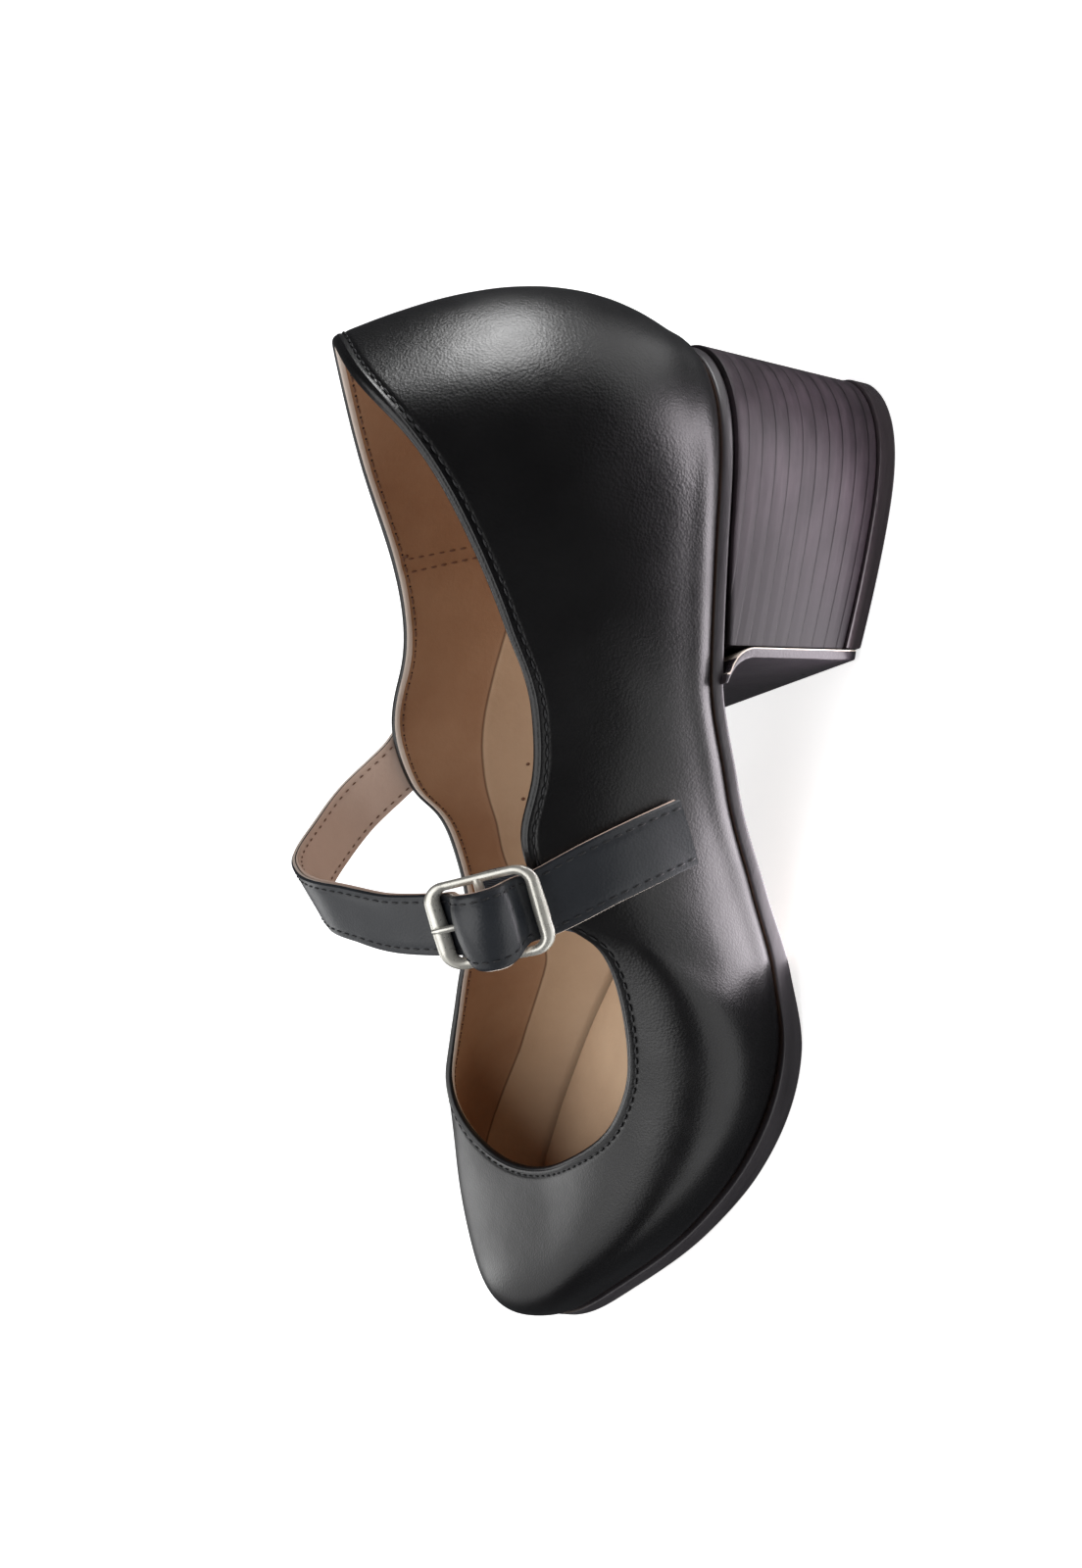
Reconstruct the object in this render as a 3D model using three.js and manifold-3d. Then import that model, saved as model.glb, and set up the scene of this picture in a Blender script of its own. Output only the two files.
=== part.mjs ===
// Folk dance shoe: a left shoe with a strap, a buckle and a low stacked heel.
// Millimetres. X runs from the heel back to the toe tip, +Y is the lateral (outer) side, Z is up.
import * as THREE from "three";
import Module from "manifold-3d";

const wasm = await Module();
wasm.setup();

// Driving sizes
const length = 242;
const ballWidth = 82;
const heelHeight = 38;
const quarterHeight = 67;
const toeSpring = 8.5;
const wall = 2.2;
const soleForepart = 3.8;
const soleWaist = 2.2;
const margin = 1.4;
const insoleThickness = 1.6;
const gap = 0.3;
const liftThickness = 3.6;
const liftLip = 0.5;
const flapThickness = 2;
const flapFillet = 5;
const flapGround = 1.2;
const heelTaper = 0.7;
const heelUndercut = 7;
const breastLateral = 67;
const breastMedial = 80;
const seatInset = 0.8;
const strapWidth = 14.5;
const strapThickness = 2.2;
const archRise = 22.5;
const strapBulge = 1.2;
const buckleCorner = 3.4;
const buckleWire = 2.2;
const buckleLength = 22.6;
const barDiameter = 2;
const prongDiameter = 1.5;
const tabWidth = 12;
const tabThickness = 1.2;
const earMedial = 0.828;
const earLateral = 0.261;
const earBarShare = 0.9;
const medialEarBase = 0.74;
const medialEarEnd = 0.97;
const earSlant = 0.014;
const tailClearance = 0.25;
const tabEase = 2.4;
const tabShift = 0.0042;

// Mesh density
const around = 88;
const upperRows = 12;
const across = 6;

// Sections of the last, once around from the heel back over the lateral side to the toe
// and back along the medial side. fx and tx are shares of the length, fy and ty are shares
// of the ball width, rise is the height of the topline above the sole as a share of the
// quarter height. Leans are degrees from upright, pulls are shares of the section's chord.
const sectionColumns = ["fx", "fy", "tx", "ty", "rise", "lowLean", "lowPull", "topLean", "topPull"];
const sections = [
  [0.029, 0.006, 0.031, 0.000, 1.034, 33, 0.42, 23, 0.38],
  [0.048, 0.189, 0.059, 0.183, 1.036, 32, 0.40, 17, 0.38],
  [0.099, 0.329, 0.095, 0.317, 0.966, 28, 0.38, 13, 0.36],
  [0.178, 0.409, 0.150, 0.384, 0.811, 24, 0.36, 12, 0.34],
  [0.269, 0.451, 0.240, 0.421, 0.641, 24, 0.36, 14, 0.34],
  [0.360, 0.463, 0.310, 0.439, 0.609, 24, 0.36, 16, 0.34],
  [0.434, 0.451, 0.381, 0.451, 0.686, 26, 0.36, 18, 0.34],
  [0.492, 0.470, 0.438, 0.457, 0.783, 28, 0.36, 22, 0.34],
  [0.550, 0.524, 0.499, 0.476, 0.709, 31, 0.36, 33, 0.34],
  [0.612, 0.589, 0.527, 0.500, 0.583, 32, 0.38, 44, 0.36],
  [0.682, 0.589, 0.593, 0.512, 0.463, 32, 0.43, 52, 0.38],
  [0.760, 0.518, 0.658, 0.488, 0.391, 32, 0.46, 58, 0.38],
  [0.839, 0.402, 0.712, 0.415, 0.349, 30, 0.47, 66, 0.40],
  [0.913, 0.262, 0.756, 0.293, 0.314, 27, 0.47, 74, 0.42],
  [0.973, 0.128, 0.790, 0.159, 0.272, 25, 0.48, 79, 0.42],
  [1.000, -0.037, 0.811, 0.024, 0.275, 23, 0.53, 83, 0.44],
  [0.977, -0.201, 0.817, -0.110, 0.327, 24, 0.58, 82, 0.46],
  [0.926, -0.317, 0.806, -0.207, 0.415, 27, 0.62, 78, 0.48],
  [0.851, -0.384, 0.784, -0.280, 0.500, 31, 0.60, 70, 0.46],
  [0.764, -0.396, 0.746, -0.323, 0.555, 33, 0.49, 52, 0.40],
  [0.678, -0.354, 0.685, -0.341, 0.567, 34, 0.42, 36, 0.36],
  [0.591, -0.274, 0.615, -0.341, 0.577, 38, 0.38, 28, 0.34],
  [0.508, -0.207, 0.533, -0.329, 0.575, 40, 0.36, 22, 0.34],
  [0.442, -0.177, 0.460, -0.323, 0.606, 38, 0.36, 18, 0.34],
  [0.393, -0.183, 0.432, -0.317, 0.628, 36, 0.36, 16, 0.34],
  [0.339, -0.213, 0.373, -0.311, 0.655, 33, 0.36, 14, 0.34],
  [0.273, -0.244, 0.297, -0.299, 0.600, 29, 0.36, 13, 0.34],
  [0.198, -0.256, 0.204, -0.287, 0.667, 26, 0.36, 13, 0.34],
  [0.128, -0.250, 0.127, -0.262, 0.804, 24, 0.36, 13, 0.34],
  [0.070, -0.183, 0.060, -0.171, 0.938, 24, 0.38, 14, 0.36],
];

// Bottom profile of the sole: share of the length, share of the heel height, millimetres
// added at the toe, thickness between waist (0) and forepart (1).
const bottomColumns = ["at", "lift", "spring", "thick"];
const bottom = [
  [0.00, 0.93, 0.00, 0.0],
  [0.15, 0.90, 0.00, 0.0],
  [0.29, 0.79, 0.00, 0.0],
  [0.38, 0.56, 0.00, 0.1],
  [0.47, 0.25, 0.00, 0.4],
  [0.54, 0.06, 0.00, 0.8],
  [0.60, 0.00, 0.00, 1.0],
  [0.72, 0.00, 0.00, 1.0],
  [0.80, 0.00, 0.12, 1.0],
  [0.88, 0.00, 0.38, 1.0],
  [0.95, 0.00, 0.72, 1.0],
  [1.00, 0.00, 1.00, 1.0],
];

// Places of the strap's free end: x as a share of the length, z of the quarter height.
const tail = [
  [0.452, 0.715],
  [0.433, 0.605],
  [0.417, 0.494],
];

// A column of a table, by its name.
function column(rows, names, name) {
  const index = names.indexOf(name);
  return rows.map((row) => row[index]);
}

// Monotone curve through the rows of an open table, flat where two rows are equal.
function openCurve(xs, ys) {
  const n = xs.length;
  const slope = [];
  for (let i = 0; i < n - 1; i += 1) {
    slope.push((ys[i + 1] - ys[i]) / (xs[i + 1] - xs[i]));
  }
  const tangent = [slope[0]];
  for (let i = 1; i < n - 1; i += 1) {
    const flat = slope[i - 1] * slope[i] <= 0;
    tangent.push(flat ? 0 : (2 * slope[i - 1] * slope[i]) / (slope[i - 1] + slope[i]));
  }
  tangent.push(slope[n - 2]);
  return (x) => {
    const at = Math.min(Math.max(x, xs[0]), xs[n - 1]);
    let i = 0;
    while (i < n - 2 && at > xs[i + 1]) {
      i += 1;
    }
    const h = xs[i + 1] - xs[i];
    const t = (at - xs[i]) / h;
    const s = 1 - t;
    const ends = ys[i] * s * s * (1 + 2 * t) + ys[i + 1] * t * t * (1 + 2 * s);
    return ends + h * t * s * (tangent[i] * s - tangent[i + 1] * t);
  };
}

// Smooth closed curve through the rows of a table that runs once around the shoe.
function closedCurve(knots, values) {
  const n = values.length;
  const rows = [];
  for (let i = 0; i < n; i += 1) {
    const before = (i + n - 1) % n;
    const after = (i + 1) % n;
    const hb = knots[i === 0 ? n : i] - knots[i === 0 ? n - 1 : i - 1];
    const ha = knots[i + 1] - knots[i];
    const row = new Array(n + 1).fill(0);
    row[before] += 1 / hb;
    row[i] += 2 / hb + 2 / ha;
    row[after] += 1 / ha;
    const back = (values[i] - values[before]) / (hb * hb);
    const ahead = (values[after] - values[i]) / (ha * ha);
    row[n] = 3 * (back + ahead);
    rows.push(row);
  }
  for (let i = 0; i < n; i += 1) {
    for (let k = 0; k < n; k += 1) {
      if (k !== i) {
        const factor = rows[k][i] / rows[i][i];
        for (let c = i; c <= n; c += 1) {
          rows[k][c] -= factor * rows[i][c];
        }
      }
    }
  }
  const tangent = rows.map((row, i) => row[n] / row[i]);
  const total = knots[n];
  return (u) => {
    const at = (((u % 1) + 1) % 1) * total;
    let i = 0;
    while (i < n - 1 && at > knots[i + 1]) {
      i += 1;
    }
    const j = (i + 1) % n;
    const h = knots[i + 1] - knots[i];
    const t = (at - knots[i]) / h;
    const s = 1 - t;
    const ends = values[i] * s * s * (1 + 2 * t) + values[j] * t * t * (1 + 2 * s);
    return ends + h * t * s * (tangent[i] * s - tangent[j] * t);
  };
}

// The sole's under face, thickness and upper face along the length
const bottomAt = column(bottom, bottomColumns, "at").map((v) => v * length);
const heelPart = openCurve(bottomAt, column(bottom, bottomColumns, "lift"));
const springPart = openCurve(bottomAt, column(bottom, bottomColumns, "spring"));
const thickPart = openCurve(bottomAt, column(bottom, bottomColumns, "thick"));
const underZ = (x) => heelHeight * heelPart(x) + toeSpring * springPart(x);
const soleThickness = (x) => soleWaist + (soleForepart - soleWaist) * thickPart(x);
const overZ = (x) => underZ(x) + soleThickness(x);

// One smooth function of the way around for every column of the sections
const featherX = column(sections, sectionColumns, "fx").map((v) => v * length);
const featherY = column(sections, sectionColumns, "fy").map((v) => v * ballWidth);
const knots = [0];
for (let i = 0; i < sections.length; i += 1) {
  const j = (i + 1) % sections.length;
  knots.push(knots[i] + Math.hypot(featherX[j] - featherX[i], featherY[j] - featherY[i]));
}
const shape = {};
sectionColumns.forEach((name) => {
  shape[name] = closedCurve(knots, column(sections, sectionColumns, name));
});

// Outline of the sole, moved inwards by an inset.
function outline(u, inset) {
  const step = 0.0005;
  const x = shape.fx(u) * length;
  const y = shape.fy(u) * ballWidth;
  const dx = (shape.fx(u + step) - shape.fx(u - step)) * length;
  const dy = (shape.fy(u + step) - shape.fy(u - step)) * ballWidth;
  const size = Math.hypot(dx, dy);
  const inX = dy / size;
  const inY = -dx / size;
  return { x: x + inX * inset, y: y + inY * inset, inX, inY };
}

// A point of the upper's outer face: u once around, v from the sole up to the topline.
function upperPoint(u, v) {
  const foot = outline(u, margin);
  const low = new THREE.Vector3(foot.x, foot.y, overZ(foot.x) + gap);
  const step = 0.0005;
  const tx = shape.tx(u) * length;
  const ty = shape.ty(u) * ballWidth;
  const dx = (shape.tx(u + step) - shape.tx(u - step)) * length;
  const dy = (shape.ty(u + step) - shape.ty(u - step)) * ballWidth;
  const size = Math.hypot(dx, dy);
  const top = new THREE.Vector3(tx, ty, low.z + shape.rise(u) * quarterHeight);
  const chord = low.distanceTo(top);
  const lowLean = THREE.MathUtils.degToRad(shape.lowLean(u));
  const topLean = THREE.MathUtils.degToRad(shape.topLean(u));
  const lowPull = chord * shape.lowPull(u);
  const topPull = chord * shape.topPull(u);
  const rising = new THREE.Vector3(
    -foot.inX * Math.sin(lowLean),
    -foot.inY * Math.sin(lowLean),
    Math.cos(lowLean),
  );
  const closing = new THREE.Vector3(
    (dy / size) * Math.sin(topLean),
    (-dx / size) * Math.sin(topLean),
    Math.cos(topLean),
  );
  const curve = new THREE.CubicBezierCurve3(
    low,
    low.clone().addScaledVector(rising, lowPull),
    top.clone().addScaledVector(closing, -topPull),
    top,
  );
  return curve.getPoint(v);
}

// Outward direction of the upper's face.
function upperNormal(u, v) {
  const step = 0.002;
  const low = Math.max(v - step, 0);
  const high = Math.min(v + step, 1);
  const along = upperPoint(u + step, v).sub(upperPoint(u - step, v));
  const up = upperPoint(u, high).sub(upperPoint(u, low));
  return up.cross(along).normalize();
}

// A closed mesh from a list of points and a list of triangles.
function meshOf(points, triangles) {
  const geometry = new THREE.BufferGeometry();
  const flat = points.flatMap((p) => [p.x, p.y, p.z]);
  geometry.setAttribute("position", new THREE.Float32BufferAttribute(flat, 3));
  geometry.setIndex(triangles.flat());
  return geometry;
}

// Skin over rings of points; the rings close on themselves and the last joins the first.
function torusSkin(rings) {
  const n = rings[0].length;
  const points = rings.flat();
  const triangles = [];
  rings.forEach((ring, r) => {
    const next = (r + 1) % rings.length;
    for (let i = 0; i < n; i += 1) {
      const j = (i + 1) % n;
      const a = r * n + i;
      const b = r * n + j;
      const c = next * n + j;
      const d = next * n + i;
      triangles.push([a, c, b], [a, d, c]);
    }
  });
  return meshOf(points, triangles);
}

// Skin over rings of points with a fan over each end.
function tubeSkin(rings) {
  const n = rings[0].length;
  const points = rings.flat();
  const triangles = [];
  for (let r = 0; r < rings.length - 1; r += 1) {
    for (let i = 0; i < n; i += 1) {
      const j = (i + 1) % n;
      const a = r * n + i;
      const b = r * n + j;
      const c = (r + 1) * n + j;
      const d = (r + 1) * n + i;
      triangles.push([a, b, c], [a, c, d]);
    }
  }
  const first = points.length;
  const middle = (ring) => ring
    .reduce((sum, p) => sum.add(p), new THREE.Vector3())
    .divideScalar(n);
  points.push(middle(rings[0]), middle(rings[rings.length - 1]));
  const last = (rings.length - 1) * n;
  for (let i = 0; i < n; i += 1) {
    const j = (i + 1) % n;
    triangles.push([first, j, i], [first + 1, last + i, last + j]);
  }
  return meshOf(points, triangles);
}

// A slab over rows of points: each row has one point, or as many as the others, and a low
// and a high side. The rows run forward and the points in a row run from lateral to medial.
function slabSkin(rows) {
  const points = [];
  const keep = (list) => list.map((p) => points.push(p) - 1);
  const lows = rows.map((row) => keep(row.low));
  const highs = rows.map((row) => keep(row.high));
  const triangles = [];
  const quad = (a, b, c, d) => {
    if (a !== b) {
      triangles.push([a, b, c]);
    }
    if (c !== d) {
      triangles.push([a, c, d]);
    }
  };
  for (let i = 0; i < rows.length - 1; i += 1) {
    const cells = Math.max(lows[i].length, lows[i + 1].length) - 1;
    const at = (list, k) => list[Math.min(k, list.length - 1)];
    for (let k = 0; k < cells; k += 1) {
      const low = [at(lows[i], k), at(lows[i], k + 1), at(lows[i + 1], k + 1), at(lows[i + 1], k)];
      const high = [at(highs[i], k), at(highs[i], k + 1), at(highs[i + 1], k + 1), at(highs[i + 1], k)];
      quad(low[3], low[2], low[1], low[0]);
      quad(high[0], high[1], high[2], high[3]);
    }
    quad(lows[i][0], highs[i][0], highs[i + 1][0], lows[i + 1][0]);
    quad(lows[i + 1].at(-1), highs[i + 1].at(-1), highs[i].at(-1), lows[i].at(-1));
  }
  const end = (low, high, ahead) => {
    for (let k = 0; k < low.length - 1; k += 1) {
      const loop = [low[k], high[k], high[k + 1], low[k + 1]];
      const [a, b, c, d] = ahead ? loop : loop.reverse();
      quad(a, b, c, d);
    }
  };
  end(lows[0], highs[0], false);
  end(lows.at(-1), highs.at(-1), true);
  return meshOf(points, triangles);
}

// Points of a straight row from one side to the other.
function rowBetween(a, b, zOf, cells) {
  const points = [];
  for (let k = 0; k <= cells; k += 1) {
    const t = cells === 0 ? 0 : k / cells;
    const x = a.x + (b.x - a.x) * t;
    const y = a.y + (b.y - a.y) * t;
    points.push(new THREE.Vector3(x, y, zOf(x, y)));
  }
  return points;
}

// A plate over the whole outline.
function plateSkin(ringPoint, lowZ, highZ, count) {
  const half = count / 2;
  const rows = [];
  for (let i = 0; i <= half; i += 1) {
    const a = ringPoint(i / count);
    const b = ringPoint(-i / count);
    const cells = i === 0 || i === half ? 0 : across;
    rows.push({ low: rowBetween(a, b, lowZ, cells), high: rowBetween(a, b, highZ, cells) });
  }
  return slabSkin(rows);
}

// Turns a mesh into a solid for joining and cutting, and back again.
function solidOf(geometry) {
  const position = geometry.getAttribute("position");
  const mesh = new wasm.Mesh({
    numProp: 3,
    vertProperties: new Float32Array(position.array),
    triVerts: new Uint32Array(geometry.getIndex().array),
  });
  return new wasm.Manifold(mesh);
}
function geometryOf(solid) {
  const mesh = solid.getMesh();
  const geometry = new THREE.BufferGeometry();
  geometry.setAttribute("position", new THREE.Float32BufferAttribute(mesh.vertProperties, 3));
  geometry.setIndex(Array.from(mesh.triVerts));
  return geometry;
}

// Upper
function upperGeometry() {
  const outer = [];
  const inner = [];
  for (let r = 0; r <= upperRows; r += 1) {
    const v = r / upperRows;
    const outerRing = [];
    const innerRing = [];
    for (let i = 0; i < around; i += 1) {
      const u = i / around;
      const point = upperPoint(u, v);
      const inside = point.clone().addScaledVector(upperNormal(u, v), -wall);
      if (r === 0) {
        inside.z = overZ(inside.x) + gap;
      }
      outerRing.push(point);
      innerRing.push(inside);
    }
    outer.push(outerRing);
    inner.push(innerRing);
  }
  return torusSkin([...outer, ...inner.reverse()]);
}

const group = new THREE.Group();
group.name = "folk_dance_shoe";
function add(name, geometry, color, roughness, metalness) {
  const material = new THREE.MeshStandardMaterial({ color, roughness, metalness });
  const mesh = new THREE.Mesh(geometry, material);
  mesh.name = name;
  group.add(mesh);
}
add("upper", upperGeometry(), 0x141416, 0.4, 0);

// Insole
const insoleRing = (u) => outline(u, margin + wall + 1.3);
add(
  "insole",
  plateSkin(insoleRing, (x) => overZ(x) + gap, (x) => overZ(x) + gap + insoleThickness, around),
  0xc49a72,
  0.7,
  0,
);

// The breast is the flat front of the heel. It runs straight from side to side.
function sideAt(x, from, to) {
  let low = from;
  let high = to;
  for (let i = 0; i < 40; i += 1) {
    const middle = (low + high) / 2;
    if (outline(middle, 0).x < x) {
      low = middle;
    } else {
      high = middle;
    }
  }
  return (low + high) / 2;
}
const lateralTurn = sideAt(breastLateral, 0, 0.45);
const medialTurn = sideAt(breastMedial, 0, -0.45);
const lateralCorner = outline(lateralTurn, 0);
const medialCorner = outline(medialTurn, 0);
const breastRun = new THREE.Vector2(
  medialCorner.x - lateralCorner.x,
  medialCorner.y - lateralCorner.y,
);
const breastAhead = new THREE.Vector2(-breastRun.y, breastRun.x).normalize();
const heelMiddleY = (lateralCorner.y + medialCorner.y) / 2;
const heelRearX = outline(0, 0).x;

// A point of the heel at a height: the seat outline drawn in towards the floor.
function heelPoint(seat, z) {
  const top = underZ(seat.x);
  const down = Math.min(Math.max((top - z) / top, 0), 1);
  const breastX = lateralCorner.x + (breastRun.x * (lateralCorner.y - seat.y)) / -breastRun.y;
  const depth = breastX - heelRearX;
  const x = breastX - (breastX - seat.x) * (1 - (down * heelUndercut) / depth);
  const y = heelMiddleY + (seat.y - heelMiddleY) * (1 - down * (1 - heelTaper));
  return new THREE.Vector3(x, y, z);
}

// Rows of a heel layer between two heights, cut off at the breast.
function heelRows(lowZ, highZ, inset, setBack) {
  const count = 26;
  const rows = [];
  for (let i = 0; i <= count; i += 1) {
    const share = Math.sin((i / count) * Math.PI * 0.5) ** 1.25;
    const a = outline(lateralTurn * (i === count ? 1 : share * 0.9995), inset);
    const b = outline(medialTurn * (i === count ? 1 : share * 0.9995), inset);
    const cells = i === 0 ? 0 : across;
    const at = (zOf) => rowBetween(a, b, () => 0, cells).map((seat) => {
      const x = seat.x - breastAhead.x * setBack * share;
      const p = heelPoint(seat, zOf(x));
      p.x -= breastAhead.x * setBack * share;
      p.y -= breastAhead.y * setBack * share;
      return p;
    });
    rows.push({ low: at(lowZ), high: at(highZ) });
  }
  return rows;
}
const breastBack = flapThickness + gap;
add(
  "heel_block",
  slabSkin(heelRows(() => liftThickness + gap, (x) => underZ(x) - gap, seatInset, breastBack)),
  0x2a2026,
  0.45,
  0,
);
add(
  "top_lift",
  slabSkin(heelRows(() => 0, () => liftThickness, seatInset - liftLip, breastBack)),
  0x17151a,
  0.25,
  0,
);

// Outsole with its flap turned down over the breast
function flapSkin() {
  const levels = 12;
  const rows = [];
  for (let i = 0; i <= levels + 1; i += 1) {
    const share = Math.min(i / levels, 1);
    const at = (k, offset, ahead) => {
      const t = k / across;
      const seat = {
        x: lateralCorner.x + breastRun.x * t,
        y: lateralCorner.y + breastRun.y * t,
      };
      const top = underZ(seat.x + breastAhead.x * flapFillet);
      const z = i > levels ? top + soleWaist * 0.5 : flapGround + (top - flapGround) * share;
      const rise = Math.max(flapFillet - (top - Math.min(z, top)), 0);
      const round = flapFillet - Math.sqrt(flapFillet ** 2 - rise ** 2);
      const p = heelPoint(seat, z);
      const forward = offset + (ahead ? round : 0);
      p.x += breastAhead.x * forward;
      p.y += breastAhead.y * forward;
      return p;
    };
    const front = [];
    const rear = [];
    for (let k = 0; k <= across; k += 1) {
      front.push(at(k, 0, true));
      rear.push(at(k, -flapThickness, false));
    }
    rows.push({ low: front, high: rear });
  }
  return slabSkin(rows);
}
const platePart = solidOf(plateSkin((u) => outline(u, 0), underZ, overZ, around));
const flapPart = solidOf(flapSkin());
add("outsole", geometryOf(platePart.add(flapPart)), 0x1a1517, 0.5, 0);

// Finds the way around and up on the upper's outer face for a place seen from the side.
function onUpper(x, z, start) {
  let u = start;
  let v = 0.7;
  const step = 0.001;
  for (let i = 0; i < 30; i += 1) {
    const p = upperPoint(u, v);
    const pu = upperPoint(u + step, v);
    const pv = upperPoint(u, v + step);
    const a = (pu.x - p.x) / step;
    const b = (pv.x - p.x) / step;
    const c = (pu.z - p.z) / step;
    const d = (pv.z - p.z) / step;
    const ex = x - p.x;
    const ez = z - p.z;
    const det = a * d - b * c;
    u += THREE.MathUtils.clamp((ex * d - ez * b) / det, -0.03, 0.03);
    v += THREE.MathUtils.clamp((a * ez - c * ex) / det, -0.15, 0.15);
    v = THREE.MathUtils.clamp(v, 0.05, 1);
  }
  return { point: upperPoint(u, v), normal: upperNormal(u, v) };
}
const topAt = (u) => ({ point: upperPoint(u, 1), normal: upperNormal(u, 1) });

// A sideways direction laid flat on a face
const layFlat = (side, normal) => side.clone().addScaledVector(normal, -side.dot(normal));

// Ribbon with rounded edges along stations of place, sideways direction and outward direction.
function ribbonSkin(stations, width, thickness) {
  const half = width / 2;
  const soft = thickness * 0.3;
  const low = thickness / 2;
  const section = [
    [-half, -low + soft], [-half + soft, -low], [half - soft, -low], [half, -low + soft],
    [half, low - soft], [half - soft, low], [-half + soft, low], [-half, low - soft],
  ];
  const rings = stations.map(({ at, side, out }) => section.map(([a, b]) => at
    .clone()
    .addScaledVector(side, a)
    .addScaledVector(out, b)));
  return tubeSkin(rings);
}

// Smooth stations between the ones given.
function smoothStations(marks, count) {
  const path = new THREE.CatmullRomCurve3(marks.map((m) => m.at), false, "centripetal");
  const sides = new THREE.CatmullRomCurve3(marks.map((m) => m.side), false, "centripetal");
  const stations = [];
  for (let i = 0; i <= count; i += 1) {
    const t = i / count;
    const tangent = path.getTangent(t);
    const side = sides.getPoint(t);
    side.addScaledVector(tangent, -side.dot(tangent)).normalize();
    const out = tangent.clone().cross(side).normalize();
    stations.push({ at: path.getPoint(t), side, out, tangent });
  }
  return stations;
}

// Buckle: its middle and directions come from the lateral topline that it hangs beside
const lateralEar = topAt(earLateral);
const medialEar = topAt(earMedial);
const buckleDown = new THREE.Vector3(-0.417, 0.54, -0.735).normalize();
const buckleSide = new THREE.Vector3(0.93, 0.12, -0.35);
buckleSide.addScaledVector(buckleDown, -buckleSide.dot(buckleDown)).normalize();
const buckleOut = buckleSide.clone().cross(buckleDown).normalize();
const barReach = buckleLength / 2 - buckleWire / 2;
const weave = buckleWire / 2 + gap * 2.4 + strapThickness / 2;
const earClearance = weave + strapThickness / 2 + gap * 2 + tabThickness + gap;
const buckleMiddle = lateralEar.point
  .clone()
  .addScaledVector(buckleDown, -barReach * earBarShare)
  .addScaledVector(buckleOut, earClearance);
const onBuckle = (down, out, side = 0) => buckleMiddle
  .clone()
  .addScaledVector(buckleDown, down)
  .addScaledVector(buckleOut, out)
  .addScaledVector(buckleSide, side);

// Strap: sewn to the medial quarter, slack over the instep, through the buckle and down
// the lateral quarter. share and rise are shares of the span and of the arch.
const archColumns = ["share", "rise", "ahead", "sideX", "sideY", "sideZ"];
const arch = [
  [-0.040, 0.37, 0.56, 0.74, 0.00, -0.66],
  [0.030, 0.64, 0.84, 0.72, -0.04, -0.68],
  [0.170, 0.88, 0.96, 0.70, -0.02, -0.70],
  [0.350, 0.95, 0.88, 0.78, 0.06, -0.60],
  [0.530, 0.90, 0.70, 0.84, 0.10, -0.52],
  [0.690, 0.66, 0.50, 0.88, 0.10, -0.46],
  [0.830, 0.38, 0.32, 0.90, 0.10, -0.42],
];
const marks = [];
const lift = strapThickness / 2 + gap;
const earRun = medialEarEnd - medialEarBase;
const earSide = new THREE.Vector3(0.80, 0.02, -0.60);
for (let i = 0; i < 3; i += 1) {
  const u = earMedial + earSlant * (1 - i / 2);
  const v = medialEarBase + (earRun * i) / 2;
  const normal = upperNormal(u, v);
  const p = upperPoint(u, v).addScaledVector(normal, lift + tailClearance);
  marks.push({ at: p, side: layFlat(earSide, normal) });
}
const spanFrom = medialEar.point;
const spanTo = onBuckle(-barReach, -weave);
arch.forEach(([share, rise, ahead, sideX, sideY, sideZ]) => {
  const at = spanFrom.clone().lerp(spanTo, share);
  at.x += ahead * archRise;
  at.z += rise * archRise;
  marks.push({ at, side: new THREE.Vector3(sideX, sideY, sideZ) });
});
const overBar = barDiameter / 2 + gap * 2 + prongDiameter + strapThickness / 2 + strapBulge;
marks.push({ at: onBuckle(-barReach, -weave), side: buckleSide });
marks.push({ at: onBuckle(-barReach * 0.62, -overBar * 0.12), side: buckleSide });
marks.push({ at: onBuckle(-barReach * 0.34, overBar * 0.72), side: buckleSide });
marks.push({ at: onBuckle(0, overBar), side: buckleSide });
marks.push({ at: onBuckle(barReach * 0.36, overBar * 0.74), side: buckleSide });
marks.push({ at: onBuckle(barReach * 0.62, -overBar * 0.12), side: buckleSide });
marks.push({ at: onBuckle(barReach, -weave), side: buckleSide });
const tailSide = new THREE.Vector3(0.92, 0.05, -0.39);
tail.forEach(([x, z]) => {
  const spot = onUpper(x * length, z * quarterHeight, 0.27);
  const at = spot.point.addScaledVector(spot.normal, lift + tailClearance);
  marks.push({ at, side: layFlat(tailSide, spot.normal) });
});
const strapStations = smoothStations(marks, 68);
const strapSolid = solidOf(ribbonSkin(strapStations, strapWidth, strapThickness));

// Buckle frame with its centre bar
function wireRing(radius) {
  const reach = barReach;
  const spread = strapWidth / 2 + gap * 2 + radius;
  const corner = buckleCorner;
  const rings = [];
  const steps = 6;
  const corners = [[1, 1], [-1, 1], [-1, -1], [1, -1]];
  corners.forEach(([a, b], c) => {
    for (let k = 0; k <= steps; k += 1) {
      const angle = ((c + k / steps) * Math.PI) / 2;
      const outX = Math.cos(angle);
      const outY = Math.sin(angle);
      const down = a * (reach - corner) + corner * outX;
      const side = b * (spread - corner) + corner * outY;
      const middle = onBuckle(down, 0, side);
      const away = buckleDown.clone().multiplyScalar(outX).addScaledVector(buckleSide, outY);
      const ring = [];
      for (let n = 0; n < 8; n += 1) {
        const turn = (n / 8) * Math.PI * 2;
        ring.push(middle
          .clone()
          .addScaledVector(away, radius * Math.cos(turn))
          .addScaledVector(buckleOut, -radius * Math.sin(turn)));
      }
      rings.push(ring);
    }
  });
  return torusSkin(rings);
}
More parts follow.
